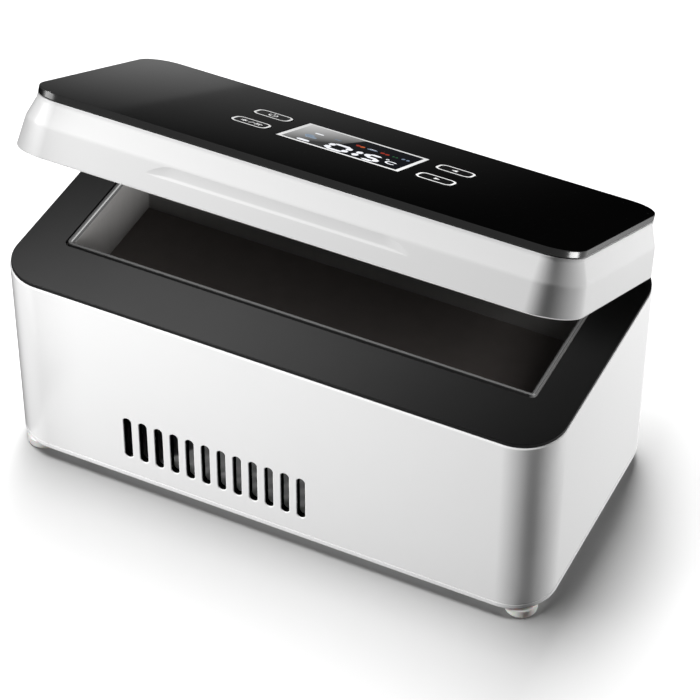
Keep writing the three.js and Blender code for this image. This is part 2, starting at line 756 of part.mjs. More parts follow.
function makeLidShell() {
  const outer = stack([lidSection(lidBottom, 0), lidSection(breakLevel, 0), lidSection(lidTop, 0)]);
  const inner = stack([
    lidSection(lidBottom - past, lidWall), lidSection(breakLevel, lidWall), lidSection(deckBottom, lidWall),
  ]);
  const reach = bodyLength / 2;
  const pad = block(
    scoopCentreX - padHalf, scoopCentreX + padHalf, -bodyWidth, padBack, lidBottom, breakLevel + lidWall,
  );
  const rail = rodX(knuckleRadius, hingeY, hingeZ, -reach, reach, roundSides);
  const linerBosses = rodsZ(linerBossRadius, linerScrewPlaces, linerTop + fit, lidTop - seam);
  const pegBosses = rodsZ(pegBossRadius, pegPlaces, displayBoardTop + fit, lidTop - seam);
  const pegs = rodsZ(pegRadius, pegPlaces, displayBoardBottom - fit, lidTop - seam);
  const added = join(pad, rail, ...linerBosses, ...pegBosses, ...pegs).intersect(outer);

  const deckOpening = prism(
    roundedRectangle(deckOpeningLength, deckOpeningWidth, deckCorner, 0, panelCentreY),
    deckBottom - past, lidTop + past, smallCornerSteps,
  );
  const linerHoles = rodsZ(
    smallScrewRadius + fit, linerScrewPlaces, linerTop - past, linerTop + smallScrewLength,
  );
  const notch = (x, length) => block(
    x - length / 2 - fit, x + length / 2 + fit,
    hingeY - knuckleRadius - fit, bodyWidth, lidBottom - past, hingeZ + knuckleRadius + fit,
  );
  const notches = Object.values(hingePlaces).map((x) => notch(x, rimKnuckleLength));
  const pinReach = rimKnuckleLength / 2 + lidKnuckleLength + fit;
  const pinBores = Object.values(hingePlaces).map((x) => (
    rodX(pinRadius + fit, hingeY, hingeZ, x - pinReach, x + pinReach)
  ));
  const leadStart = leadKnuckleLength / 2 + leadBossLength;
  const leadBore = rodX(leadBoreRadius, hingeY, hingeZ, 0, leadStart + fit);
  const leadPocket = block(
    leadStart, leadStart + 2 * leadChannel, linerBack, hingeY + leadBoreRadius / 2,
    hingeZ - leadBoreRadius, hingeZ + knuckleRadius + past,
  );
  // Behind and below its axis the lid is rounded about that axis, so that it clears the rim as it turns
  const swing = cut(
    block(-bodyLength, bodyLength, hingeY, bodyWidth, lidBottom - past, hingeZ),
    rodX(knuckleRadius, hingeY, hingeZ, -2 * bodyLength, 2 * bodyLength, roundSides),
  );
  return cut(
    join(cut(outer, inner), added),
    deckOpening, scoopCutter(), ...linerHoles, ...notches, notch(0, leadKnuckleLength),
    ...pinBores, leadBore, leadPocket, swing,
  );
}

const gasketShape = (offset) => (
  roundedRectangle(wellLength + 2 * offset, wellWidth + 2 * offset, wellCorner + offset)
);

function gasketRing(clearance, z0, z1) {
  return cut(
    prism(gasketShape(gasketOffset + gasketWidth + clearance), z0, z1, smallCornerSteps),
    prism(gasketShape(gasketOffset - clearance), z0 - past, z1 + past, smallCornerSteps),
  );
}

function makeLidLiner() {
  const inset = lidInset(linerTop) + lidWall + fit;
  const panel = prism(plan(inset), linerBottom, linerTop);
  const backCut = block(-bodyLength, bodyLength, linerBack, bodyWidth, linerBottom - past, linerTop + past);
  const frontCut = block(
    scoopCentreX - padHalf - fit, scoopCentreX + padHalf + fit,
    -bodyWidth, padBack + fit, linerBottom - past, linerTop + past,
  );
  const groove = gasketRing(fit, linerBottom - past, linerBottom + gasketGroove);
  const holes = [
    ...rodsZ(smallScrewRadius + fit, linerScrewPlaces, linerBottom - past, linerTop + past),
    ...rodsZ(smallHeadRadius + fit, linerScrewPlaces, linerBottom - past, linerBottom + linerHeadDepth),
  ];
  return cut(panel, backCut, frontCut, groove, ...holes);
}

function makeLinerScrew([x, y]) {
  const headTop = linerBottom + linerHeadDepth - fit;
  const head = rodZ(smallHeadRadius, x, y, headTop - smallHeadHeight, headTop);
  return join(head, rodZ(smallScrewRadius, x, y, headTop - seam, headTop + smallScrewLength));
}

const makeLidGasket = () => gasketRing(0, rimTop + gasketClear, linerBottom + gasketGroove - fit);

function makeLidInsulation() {
  const half = bodyLength / 2 - lidInsulationMargin;
  const top = displayBoardBottom - 2 * fit;
  return block(-half, half, lidInsulationFront, lidInsulationBack, linerTop + fit, top);
}

// Magnets that hold the lid shut, one pair in the lid and one under the rim

const magnetPlaces = { left: -magnetX, right: magnetX };

function magnet(x, bottom, clearance = 0) {
  const half = magnetLength / 2 + clearance;
  return block(
    x - half, x + half, magnetFront - clearance, magnetFront + magnetWidth + clearance,
    bottom - clearance, bottom + magnetThickness + clearance,
  );
}

const lidMagnet = (x) => magnet(x, linerTop + fit);
const rimMagnet = (x, clearance = 0) => magnet(x, rimBottom - seam - magnetThickness, clearance);

// Control panel

function makeLidPanel() {
  const sheet = stack([
    { inset: panelInset, level: panelBottom },
    { inset: panelInset, level: panelTop - panelBevel },
    { inset: panelInset + panelBevel, level: panelTop },
  ]);
  const windowHole = prism(
    roundedRectangle(windowLength + 2 * fit, windowWidth + 2 * fit, fit, 0, panelCentreY),
    panelBottom - past, panelTop + past, smallCornerSteps,
  );
  const keyHoles = Object.values(keyPlaces).map(([x, y]) => prism(
    roundedRectangle(keyLength + 2 * fit, keyWidth + 2 * fit, keyCorner + fit, x, y),
    panelBottom - past, panelTop + past, smallCornerSteps,
  ));
  return cut(sheet, windowHole, ...keyHoles);
}

const makeDisplayWindow = () => block(
  -windowLength / 2, windowLength / 2, panelCentreY - windowWidth / 2, panelCentreY + windowWidth / 2,
  panelBottom, panelTop,
);

function makeDisplayModule() {
  const half = windowLength / 2 + displayMargin;
  return block(
    -half, half, panelCentreY - displayReach, panelCentreY + displayReach,
    displayBoardTop + fit, panelBottom - fit,
  );
}

function makeDisplayBoard() {
  const half = displayBoardLength / 2;
  const board = block(
    -half, half, panelCentreY - displayBoardWidth / 2, panelCentreY + displayBoardWidth / 2,
    displayBoardBottom, displayBoardTop,
  );
  const pegHoles = rodsZ(pegRadius + fit, pegPlaces, displayBoardBottom - past, displayBoardTop + past);
  return cut(board, ...pegHoles);
}

function makeKey([x, y]) {
  const cap = prism(
    roundedRectangle(keyLength, keyWidth, keyCorner, x, y),
    keyFlangeBottom, panelTop + keyProud, smallCornerSteps,
  );
  const flange = prism(
    roundedRectangle(keyLength + 2 * keyFlange, keyWidth + 2 * keyFlange, keyCorner + keyFlange, x, y),
    keyFlangeBottom, keyFlangeTop, smallCornerSteps,
  );
  return join(cap, flange, rodZ(keyStemRadius, x, y, switchTop + keyTravel + fit, keyFlangeTop));
}

function makeSwitch([x, y]) {
  const half = switchSize / 2;
  return block(x - half, x + half, y - half, y + half, switchBottom, switchTop);
}

// Leads

function makeDisplayLeadLid() {
  const level = (displayBoardBottom + displayBoardTop) / 2;
  const boardEdge = panelCentreY + displayBoardWidth / 2 + fit;
  const pocketX = leadKnuckleLength / 2 + leadBossLength + leadChannel;
  return lead([
    [displayLeadX, boardEdge, level],
    [displayLeadX, boardEdge + leadChannel, level],
    [displayLeadX, lidInsulationBack - leadChannel, level],
    [displayLeadX, lidInsulationBack + 2, level - 1.5],
    [displayLeadX - 1, hingeY - 2, hingeZ + leadChannel],
    [pocketX, hingeY - 1.7, hingeZ + 1.2],
    [pocketX - leadChannel, hingeY - 0.4, hingeZ],
    [leadKnuckleLength / 2 + 3, hingeY, hingeZ],
    [leadChannel, hingeY, hingeZ],
    [seam, hingeY, hingeZ],
  ], thinLead);
}

function makeDisplayLeadBody() {
  return lead([
    [-seam, hingeY, hingeZ],
    [leadDropX / 2, hingeY, hingeZ - 0.2],
    [leadDropX, hingeY, hingeZ - 2],
    [leadDropX, hingeY, rimBottom - rimFlangeHeight],
    [leadDropX, hingeY, insulationBottom + leadChannel],
    [leadDropX, hingeY, insulationBottom - leadChannel],
    [2, hingeY - 1, boardTop + leadChannel],
    [18, hingeY - 5, boardTop + 3],
    [boardLeft - 3, hingeY - 12, boardTop + 2.8],
    [landingX, hingeY - 17, boardTop + 2.4],
    [landingX + 1, hingeY - 18, boardTop + 2 * fit],
  ], thinLead);
}

function makeFanLead() {
  const start = ventCentreX + fanSize / 2 + fit;
  const level = fanBottom + fanThickness / 2;
  return lead([
    [start, fanLeadY, level],
    [start + leadChannel, fanLeadY, level],
    [boardLeft - 9, fanLeadY, level + 6],
    [boardLeft - 5, fanLeadY, boardTop],
    [boardLeft + 1, fanLeadY, boardTop + 2.6],
    [landingX - 0.5, fanLeadY, boardTop + 2],
    [landingX, fanLeadY, boardTop + 2 * fit],
  ], thinLead);
}

function makeBatteryLead() {
  const start = batteryY - holderWidth / 2 - fit;
  const level = floorTop + holderHeight / 2;
  return lead([
    [batteryX, start, level],
    [batteryX, start - 3, level + 0.5],
    [batteryX, boardFront - 2.4, level + leadChannel],
    [batteryX, boardFront - 2.6, boardBottom],
    [batteryX, boardFront - 1, boardTop + 2.6],
    [batteryX, boardFront + 3, boardTop + 2.6],
    [batteryX, boardFront + leadLanding, boardTop + 2 * fit],
  ], powerLead);
}

function makePeltierLead() {
  const start = ventCentreX + moduleSize / 2 + fit;
  const level = (moduleBottom + moduleTop) / 2;
  const sinkEdge = ventCentreX + sinkLength / 2;
  return lead([
    [start, 0, level],
    [start + leadChannel, 0, level],
    [sinkEdge + 4, 0, level - 0.4],
    [sinkEdge + 11, 0, level - 4],
    [boardLeft - 3, 0, boardTop + 5],
    [landingX - 1.5, 0, boardTop + 3],
    [landingX, 0, boardTop + 2 * fit],
  ], powerLead);
}

// The probe lies under the tray beside the cold block, with its lead down to the main board
function makeTemperatureProbe() {
  const start = ventCentreX + moduleSize / 2 + leadChannel;
  const level = trayBottom - fit - probeRadius;
  const sinkEdge = ventCentreX + sinkLength / 2;
  const wire = lead([
    [start, probeY, level],
    [start + probeLength, probeY, level],
    [sinkEdge + 4, probeY, level - 2],
    [sinkEdge + 8, probeY, insulationBottom + 2],
    [boardLeft - 3, probeY, boardTop + 5],
    [landingX - 1.5, probeY, boardTop + 3],
    [landingX, probeY, boardTop + 2 * fit],
  ], thinLead);
  return join(wire, rodX(probeRadius, probeY, level, start - probeLength, start + probeLength / 2));
}

// Assembly

const finishes = {
  whitePlastic: { color: 0xf2f2f0, roughness: 0.25, metalness: 0 },
  darkPlastic: { color: 0x37383a, roughness: 0.5, metalness: 0 },
  blackPanel: { color: 0x0b0b0c, roughness: 0.08, metalness: 0 },
  clearWindow: { color: 0x202428, roughness: 0.05, metalness: 0 },
  greyPlastic: { color: 0xd6d7d6, roughness: 0.45, metalness: 0 },
  footRubber: { color: 0xe4e4e0, roughness: 0.6, metalness: 0 },
  gasketRubber: { color: 0x2a2a2b, roughness: 0.7, metalness: 0 },
  brightAluminium: { color: 0xc2c4c6, roughness: 0.3, metalness: 1 },
  darkAluminium: { color: 0x4a4a4b, roughness: 0.4, metalness: 1 },
  steel: { color: 0xb0b2b4, roughness: 0.3, metalness: 1 },
  foam: { color: 0xe9e7e0, roughness: 0.95, metalness: 0 },
  ceramic: { color: 0xeeece6, roughness: 0.5, metalness: 0 },
  circuitBoard: { color: 0x1f5a35, roughness: 0.5, metalness: 0 },
  cellWrap: { color: 0x2f6fb0, roughness: 0.4, metalness: 0 },
  leadJacket: { color: 0x2b2b2c, roughness: 0.5, metalness: 0 },
};

function place(group, name, shape, finish) {
  const mesh = new THREE.Mesh(geometryOf(shape), new THREE.MeshStandardMaterial(finishes[finish]));
  mesh.name = name;
  group.add(mesh);
}

const body = new THREE.Group();
place(body, 'body_shell', makeBodyShell(), 'whitePlastic');
place(body, 'base_cover', makeBaseCover(), 'whitePlastic');
place(body, 'top_rim', makeTopRim(), 'darkPlastic');
place(body, 'well_trim', makeWellTrim(), 'brightAluminium');
place(body, 'cold_tray', makeColdTray(), 'darkAluminium');
place(body, 'body_insulation', makeBodyInsulation(), 'foam');
place(body, 'cold_block', makeColdBlock(), 'brightAluminium');
place(body, 'peltier_module', makePeltierModule(), 'ceramic');
place(body, 'heat_sink', makeHeatSink(), 'brightAluminium');
place(body, 'fan_frame', makeFanFrame(), 'darkPlastic');
place(body, 'fan_rotor', makeFanRotor(), 'darkPlastic');
place(body, 'battery_holder', makeBatteryHolder(), 'darkPlastic');
place(body, 'main_board', makeMainBoard(), 'circuitBoard');
place(body, 'dc_socket', makeDcSocket(), 'darkPlastic');
cellPlaces.forEach((x, i) => place(body, `battery_cell_${i + 1}`, makeCell(x), 'cellWrap'));
cornerNames.forEach((corner, i) => {
  place(body, `foot_${corner}`, makeFoot(footPlaces[i]), 'footRubber');
  place(body, `cover_screw_${corner}`, makeCoverScrew(coverScrewPlaces[i]), 'steel');
});
place(body, 'board_screw_front', makeBoardScrew(postPlaces[0]), 'steel');
place(body, 'board_screw_back', makeBoardScrew(postPlaces[2]), 'steel');
Object.entries(magnetPlaces).forEach(([side, x]) => place(body, `rim_magnet_${side}`, rimMagnet(x), 'steel'));
place(body, 'display_lead_body', makeDisplayLeadBody(), 'leadJacket');
place(body, 'fan_lead', makeFanLead(), 'leadJacket');
place(body, 'battery_lead', makeBatteryLead(), 'leadJacket');
place(body, 'peltier_lead', makePeltierLead(), 'leadJacket');
place(body, 'temperature_probe', makeTemperatureProbe(), 'leadJacket');

const lid = new THREE.Group();
place(lid, 'lid_shell', makeLidShell(), 'whitePlastic');
place(lid, 'lid_liner', makeLidLiner(), 'greyPlastic');
place(lid, 'lid_gasket', makeLidGasket(), 'gasketRubber');
place(lid, 'lid_insulation', makeLidInsulation(), 'foam');
place(lid, 'lid_panel', makeLidPanel(), 'blackPanel');
place(lid, 'display_window', makeDisplayWindow(), 'clearWindow');
place(lid, 'display_module', makeDisplayModule(), 'blackPanel');
place(lid, 'display_board', makeDisplayBoard(), 'circuitBoard');
Object.entries(keyPlaces).forEach(([name, spot]) => {
  place(lid, `${name}_key`, makeKey(spot), 'blackPanel');
  place(lid, `${name}_switch`, makeSwitch(spot), 'darkPlastic');
});
cornerNames.forEach((corner, i) => {
  place(lid, `liner_screw_${corner}`, makeLinerScrew(linerScrewPlaces[i]), 'steel');
});
Object.entries(magnetPlaces).forEach(([side, x]) => place(lid, `lid_magnet_${side}`, lidMagnet(x), 'steel'));
Object.entries(hingePlaces).forEach(([side, x]) => place(lid, `hinge_pin_${side}`, makeHingePin(x), 'steel'));
place(lid, 'display_lead_lid', makeDisplayLeadLid(), 'leadJacket');
lid.position.set(0, -hingeY, -hingeZ);

const hinge = new THREE.Group();
hinge.position.set(0, hingeY, hingeZ);
hinge.rotation.x = -THREE.MathUtils.degToRad(lidOpen);
hinge.add(lid);

// The origin lies on the standing surface, under the middle of the open case
const coolingCase = new THREE.Group();
coolingCase.add(body, hinge);
coolingCase.updateMatrixWorld(true);
const extent = new THREE.Box3().setFromObject(coolingCase, true);
coolingCase.position.y = -(extent.min.y + extent.max.y) / 2;

export default coolingCase;
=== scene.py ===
import json
import math

import bmesh
import bpy
from mathutils import Matrix, Vector


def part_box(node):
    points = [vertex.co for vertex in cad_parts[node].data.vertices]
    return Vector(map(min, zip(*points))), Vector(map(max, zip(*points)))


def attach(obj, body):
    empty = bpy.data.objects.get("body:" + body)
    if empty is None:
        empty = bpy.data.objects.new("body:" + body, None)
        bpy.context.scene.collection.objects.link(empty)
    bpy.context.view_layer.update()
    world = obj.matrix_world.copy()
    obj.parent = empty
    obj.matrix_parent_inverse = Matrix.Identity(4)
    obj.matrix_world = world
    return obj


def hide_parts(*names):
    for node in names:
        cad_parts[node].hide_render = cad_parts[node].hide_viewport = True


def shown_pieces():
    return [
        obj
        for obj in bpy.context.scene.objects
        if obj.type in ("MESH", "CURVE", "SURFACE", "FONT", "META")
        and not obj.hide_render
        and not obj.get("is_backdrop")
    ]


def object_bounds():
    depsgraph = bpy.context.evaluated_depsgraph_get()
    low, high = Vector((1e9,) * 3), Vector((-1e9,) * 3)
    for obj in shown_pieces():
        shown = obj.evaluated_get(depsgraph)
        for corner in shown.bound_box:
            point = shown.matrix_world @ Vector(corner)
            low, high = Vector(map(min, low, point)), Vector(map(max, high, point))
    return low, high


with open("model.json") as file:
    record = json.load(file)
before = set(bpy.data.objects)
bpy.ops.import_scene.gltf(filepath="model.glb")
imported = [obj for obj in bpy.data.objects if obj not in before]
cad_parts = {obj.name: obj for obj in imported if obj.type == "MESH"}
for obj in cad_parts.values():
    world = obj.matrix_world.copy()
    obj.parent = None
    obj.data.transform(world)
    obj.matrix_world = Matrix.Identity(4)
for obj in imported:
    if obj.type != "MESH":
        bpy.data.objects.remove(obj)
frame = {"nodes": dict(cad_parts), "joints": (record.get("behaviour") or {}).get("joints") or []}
cad_low, cad_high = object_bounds()

# Pieces are modelled in millimetres on the closed case, with y measured from the middle of the body,
# and go into the frame's metres when they are finished.
MM = 0.001

# Sizes that the frame gives
shell_low, shell_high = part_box("body_shell")
case_length = (shell_high.x - shell_low.x) / MM
case_width = (shell_high.y - shell_low.y) / MM
shell_bottom = shell_low.z / MM
shell_top = shell_high.z / MM
cover_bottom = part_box("base_cover")[0].z / MM
flange_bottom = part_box("top_rim")[0].z / MM
trim_low, trim_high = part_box("well_trim")
well_length = (trim_high.x - trim_low.x) / MM
well_width = (trim_high.y - trim_low.y) / MM
trim_bottom = trim_low.z / MM
trim_top = trim_high.z / MM
tray_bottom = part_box("cold_tray")[0].z / MM
tray_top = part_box("cold_tray")[1].z / MM
hinge_joint = next(joint for joint in frame["joints"] if joint["name"] == "lid_hinge")
hinge = Vector(hinge_joint["pos_m"])
lid_open = math.radians(-hinge_joint["range_deg"][0])
body_middle = (shell_low.y + shell_high.y) / 2

case_place = Matrix.Translation((0, body_middle, 0)) @ Matrix.Scale(MM, 4)
to_rest = Matrix.Translation(hinge) @ Matrix.Rotation(-lid_open, 4, "X") @ Matrix.Translation(-hinge)
lid_place = to_rest @ case_place
hinge_y = (hinge.y - body_middle) / MM
hinge_z = hinge.z / MM

# Case and rim
corner_radius = 16.3
shell_wall = 2.4
shell_foot_round = 0.3
shell_top_round = 0.6
seam = 0.2
ease = 0.3
cover_top = shell_bottom - seam
cover_bevel = 1.2
cover_round = 0.5
cover_top_round = 0.05
cover_floor = cover_bottom + 2.2
tongue_wall = 1.6
tongue_top = cover_top + 2.5
rim_inset = 0.4
rim_bottom = shell_top + seam
rim_top = rim_bottom + 1.4
rim_round = 0.2
rim_flange_wall = 2
rim_gap = 0.45  # between the well's outline and the rim's opening
rim_flare = 0.25
well_corner = 2
tray_wall = 1.6
tray_round = 0.35
trim_gap = 0.2
trim_outer_round = 0.2
trim_inner_round = 0.45
case_plan = (case_length, case_width, corner_radius)

# Openings and small pieces of the case
vent_count = 12
vent_pitch = 6.15
vent_width = 3.1
vent_height = 18.7
vent_flare = 0.35
vent_middle_x = -19.65
vent_middle_z = cover_bottom + 10.9 + vent_height / 2
intake_count = 9
intake_pitch = 6
intake_width = 3
intake_length = 46
intake_flare = 0.4
foot_hollow = 0.25
foot_stem = 1.8
foot_lower = [(1.9, foot_hollow), (1.6, 0), (1, 0.04), (0.5, 0.26), (0.15, 0.65), (0, 1.2)]  # inset, level
foot_upper = [(0, 0.5), (0.4, 0.1), (0.7, 0)]  # inset, depth under the top
socket_x = 50.1
socket_z = 37.2
socket_flare = 0.4
socket_nose = 4.3
socket_nose_length = 10.3
socket_edge = 0.3
socket_housing_round = 0.4
socket_bore = 3.2
socket_bore_depth = 8.3
socket_pin = 1
socket_pin_sink = 0.4
socket_pin_root = 9.3
socket_pin_taper = 0.4
screw_x = case_length / 2 - 31.5
screw_y = case_width / 2 - 8
screw_head = 2.7
screw_head_height = 1.8
screw_shank = 1.3
screw_length = 14.8
screw_sink = 1.4
screw_recess = 2
screw_flare = 0.3
screw_dome = [(0, 0), (0.55, 0.05), (0.85, 0.2), (1, 0.5)]  # share of the head's radius, depth
screw_tip = 0.6
screw_point = 0.4  # share of the shank's radius
cross_reach = 0.58  # share of the head's radius
cross_side = 0.11  # share of the head's radius
cross_depth = 0.6  # share of the head's height

# Lid, closed
lid_bottom = rim_top + 0.3
break_level = rim_top + 10.95
lid_top = rim_top + 19.3
lid_foot_inset = 0.63
lid_break_inset = 1.95
lid_top_inset = 4.5
lid_lip = 1.3
lid_wall = 2.2
lid_inner_round = 0.3
lid_foot_round = 0.7
lid_break_round = 0.6
lid_top_round = 0.1
deck_bottom = lid_top - 2.2
deck_opening = (88, 39, 2)
knuckle_radius = 2.8
knuckle_round = 0.3
rim_knuckles = (-60, 0, 60)
knuckle_length = 16
rail_half = case_length / 2 - 18
rail_radius = knuckle_radius - 0.08
swing_radius = knuckle_radius - 0.1
scoop_x = -1.5
scoop_top_length = 77
scoop_foot_length = 98
scoop_drop = 4.8
scoop_depth = 0.27
scoop_ledge = 1
scoop_start = 0.02
scoop_slope_share = 0.6
scoop_slope_power = 2.5
scoop_end_power = 1.6
liner_bottom = rim_top + 1.5
liner_top = liner_bottom + 2
liner_back = hinge_y - knuckle_radius - 2 * ease
liner_round = 0.4
pad_front = -case_width / 2 + 2.7
pad_back = -case_width / 2 + 5.43
pad_half = scoop_foot_length / 2 + 4
pad_bottom = lid_bottom + 0.2
pad_top = break_level + 1.3
gasket_offset = 1.7
gasket_width = 2.6
gasket_bottom = rim_top + 0.4
gasket_top = liner_bottom + 0.7
gasket_round = 0.7
groove_top = liner_bottom + 1
liner_screw_x = case_length / 2 - 6.5
liner_screw_y = 35
liner_screw_head = 2
liner_screw_head_height = 1.2
liner_screw_shank = 0.95
liner_screw_length = 7.2
liner_screw_proud = 0.7
liner_screw_recess = 0.8
liner_screw_flare = 0.2

# Control panel
panel_bottom = lid_top + seam
panel_top = panel_bottom + 2.6
panel_inset = 4.55
panel_foot_round = 0.5
panel_top_round = 0.3
panel_y = 3.6
window_length = 45.5
window_width = 29.7
window_margin = 0.15
window_border = 1.45
window_round = 0.08
window_flare = 0.1
key_length = 13.5
key_width = 8.9
key_corner = 3
key_x = 34.4
key_row = 9.3
key_top = panel_top + 0.15
key_margin = 0.08
key_border = 0.85
key_round = 0.15
key_flare = 0.12
key_flange = 0.8
key_flange_top = panel_bottom - ease
key_flange_bottom = key_flange_top - 1
print_height = 0.03

# Curve steps
corner_steps = 16
small_steps = 6
slot_steps = 8
mouth_steps = 4
round_sides = 48
screw_sides = 32
pin_sides = 24
scoop_columns = 96
scoop_rows = 20

PAST = 5  # how far a cutting shape runs past what it cuts
NEARLY = 0.999  # keeps a short straight between two rounds that meet
SAME_SPOT = 1e-4  # vertices closer than this are merged
SHARP_ANGLE = 32
FINISH_SLOTS = 3  # most finishes on a piece that is cut


# Shapes


def set_ring(ring, core, radius, inset, level):
    """Moves a ring of edges to an inset and a level, so that its corners stay round."""
    for vert in {vert for edge in ring for vert in edge.verts}:
        nearest = Vector((
            max(-core.x, min(core.x, vert.co.x)),
            max(-core.y, min(core.y, vert.co.y)),
        ))
        out = (vert.co.xy - nearest).normalized()
        spot = nearest + out * (radius - inset)
        vert.co = (spot.x, spot.y, level)


def rectangle(length, width):
    bm = bmesh.new()
    bmesh.ops.create_grid(bm, x_segments=1, y_segments=1, size=0.5)
    bmesh.ops.scale(bm, vec=(length, width, 1), verts=bm.verts)
    return bm


def prism(sides, radius, height):
    bm = bmesh.new()
    bmesh.ops.create_cone(bm, cap_ends=True, segments=sides, radius1=radius, radius2=radius, depth=height)
    return bm


def face_out(bm):
    bmesh.ops.recalc_face_normals(bm, faces=bm.faces[:])
    return bm


def swept(plan, section, closed=False, steps=corner_steps):
    """A wall that follows a section of (inset, level) points round a plan of (length, width, corner radius).
    It is closed on itself, or has a cap at each end. Gives the mesh and the ring of edges at each point."""
    length, width, radius = plan
    bm = rectangle(length, width)
    bmesh.ops.bevel(
        bm, geom=bm.verts[:], offset=radius, offset_type="OFFSET", segments=steps, profile=0.5,
        affect="VERTICES", material=-1,
    )
    core = Vector((length / 2 - radius, width / 2 - radius))
    first_cap = bm.faces[:]
    ring = bm.edges[:]
    rings = [ring]
    set_ring(ring, core, radius, *section[0])
    for inset, level in section[1:]:
        made = bmesh.ops.extrude_edge_only(bm, edges=ring)["geom"]
        ring = [part for part in made if isinstance(part, bmesh.types.BMEdge) and part.is_boundary]
        set_ring(ring, core, radius, inset, level)
        rings.append(ring)
    if closed:
        bmesh.ops.delete(bm, geom=first_cap, context="FACES_ONLY")
        bmesh.ops.bridge_loops(bm, edges=rings[0] + rings[-1])
    else:
        bmesh.ops.contextual_create(bm, geom=ring)
    return face_out(bm), rings


def ring_wall(plan, outer, inner, start, end, steps=small_steps):
    """A closed wall round a plan, between two insets. Its first and last rings of edges are at the start
    level, and the two between them at the end level."""
    section = [(outer, start), (outer, end), (inner, end), (inner, start)]
    return swept(plan, section, closed=True, steps=steps)


def round_edges(bm, edges, size, steps=3):
    bmesh.ops.bevel(
        bm, geom=edges, offset=size, offset_type="OFFSET", segments=steps, profile=0.5,
        affect="EDGES", material=-1, clamp_overlap=False,
    )


def painted(bm, index, chosen=lambda face: True):
    """Gives all faces of a shape, or the chosen ones, the same one of its piece's finishes."""
    for face in bm.faces:
        if chosen(face):
            face.material_index = index
    return bm


def hole(plan, inner, outer, flare, steps=slot_steps, wall_index=0):
    """A shape that cuts a hole with a rounded mouth. The mouth is at the outer level."""
    turns = [math.radians(90 * i / mouth_steps) for i in range(mouth_steps + 1)]
    mouth = [(-flare * (1 - math.cos(turn)), outer - flare * (1 - math.sin(turn))) for turn in turns]
    section = [(0, inner), *mouth, (-flare, outer + PAST)]
    bm = swept(plan, section, steps=steps)[0]
    return painted(bm, wall_index, lambda face: face.calc_center_median().z < outer - flare)


def slot_plan(width, length):
    return (width, length, NEARLY * min(width, length) / 2)


def round_plan(radius):
    return slot_plan(2 * radius, 2 * radius)


def well_plan(offset=0):
    """The well's outline, or one at an even distance outside it."""
    return (well_length + 2 * offset, well_width + 2 * offset, well_corner + offset)


def turned(bm, angle, axis):
    bmesh.ops.rotate(bm, cent=(0, 0, 0), matrix=Matrix.Rotation(math.radians(angle), 3, axis), verts=bm.verts)
    return bm


def moved(bm, x, y, z=0):
    bmesh.ops.translate(bm, vec=(x, y, z), verts=bm.verts)
    return bm


def block(x0, x1, y0, y1, z0, z1):
    bm = bmesh.new()
    bmesh.ops.create_cube(bm, size=1)
    bmesh.ops.scale(bm, vec=(x1 - x0, y1 - y0, z1 - z0), verts=bm.verts)
    return moved(bm, (x0 + x1) / 2, (y0 + y1) / 2, (z0 + z1) / 2)


def hinge_rod(radius, half):
    """A rod along the hinge axis."""
    return moved(turned(prism(round_sides, radius, 2 * half), 90, "Y"), 0, hinge_y, hinge_z)


def lathe(points, steps=round_sides):
    """A closed shape turned about z from (radius, level) points that start and end on the axis."""
    bm = bmesh.new()
    verts = [bm.verts.new((radius, 0, level)) for radius, level in points]
    edges = [bm.edges.new(pair) for pair in zip(verts, verts[1:])]
    bmesh.ops.spin(
        bm, geom=verts + edges, cent=(0, 0, 0), axis=(0, 0, 1), angle=2 * math.pi, steps=steps,
        use_merge=True,
    )
    bmesh.ops.remove_doubles(bm, verts=bm.verts[:], dist=SAME_SPOT)
    return face_out(bm)


def append(target, part):
    """Puts the second mesh into the first."""
    mesh = bpy.data.meshes.new("scratch")
    part.to_mesh(mesh)
    part.free()
    target.from_mesh(mesh)
    bpy.data.meshes.remove(mesh)


def gathered(parts):
    whole = bmesh.new()
    for part in parts:
        append(whole, part)
    return whole


def holes(places, *sizes, wall_index=0):
    """The same hole at each of several places."""
    return gathered(moved(hole(*sizes, wall_index=wall_index), x, y) for x, y in places)


def new_object(name, bm, materials):
    """Puts a mesh into the scene as an object."""
    mesh = bpy.data.meshes.new(name)
    bm.to_mesh(mesh)
    bm.free()
    for material in materials:
        mesh.materials.append(material)
    thing = bpy.data.objects.new(name, mesh)
    bpy.context.scene.collection.objects.link(thing)
    return thing


def scratch_object(bm):
    """A passing object, with empty material slots so that its faces keep their finishes' numbers."""
    return new_object("scratch", bm, [None] * FINISH_SLOTS)


def cut(*shapes):
    return [("DIFFERENCE", shape) for shape in shapes]


def join(*shapes):
    return [("UNION", shape) for shape in shapes]


def combined(bm, *steps):
    """The mesh after each step, an operation and the closed shape it is made with."""
    base = scratch_object(bm)
    tools = []
    for operation, shape in steps:
        tool = scratch_object(shape)
        tools.append(tool)
        step = base.modifiers.new(operation.lower(), "BOOLEAN")
        step.operation = operation
        step.solver = "EXACT"
        step.object = tool
    result = bmesh.new()
    result.from_object(base, bpy.context.evaluated_depsgraph_get())
    for thing in (base, *tools):
        mesh = thing.data
        bpy.data.objects.remove(thing)
        bpy.data.meshes.remove(mesh)
    bmesh.ops.remove_doubles(result, verts=result.verts[:], dist=SAME_SPOT)
    return result


def spread(count, pitch, middle=0):
    return [middle + (i - (count - 1) / 2) * pitch for i in range(count)]


def corners(x, y):
    """The corners of a rectangle, by the names that the frame gives them."""
    return {
        "front_left": (-x, -y), "front_right": (x, -y), "back_right": (x, y), "back_left": (-x, y),
    }


made_finishes = {}
made_pieces = {}
lid_things = []


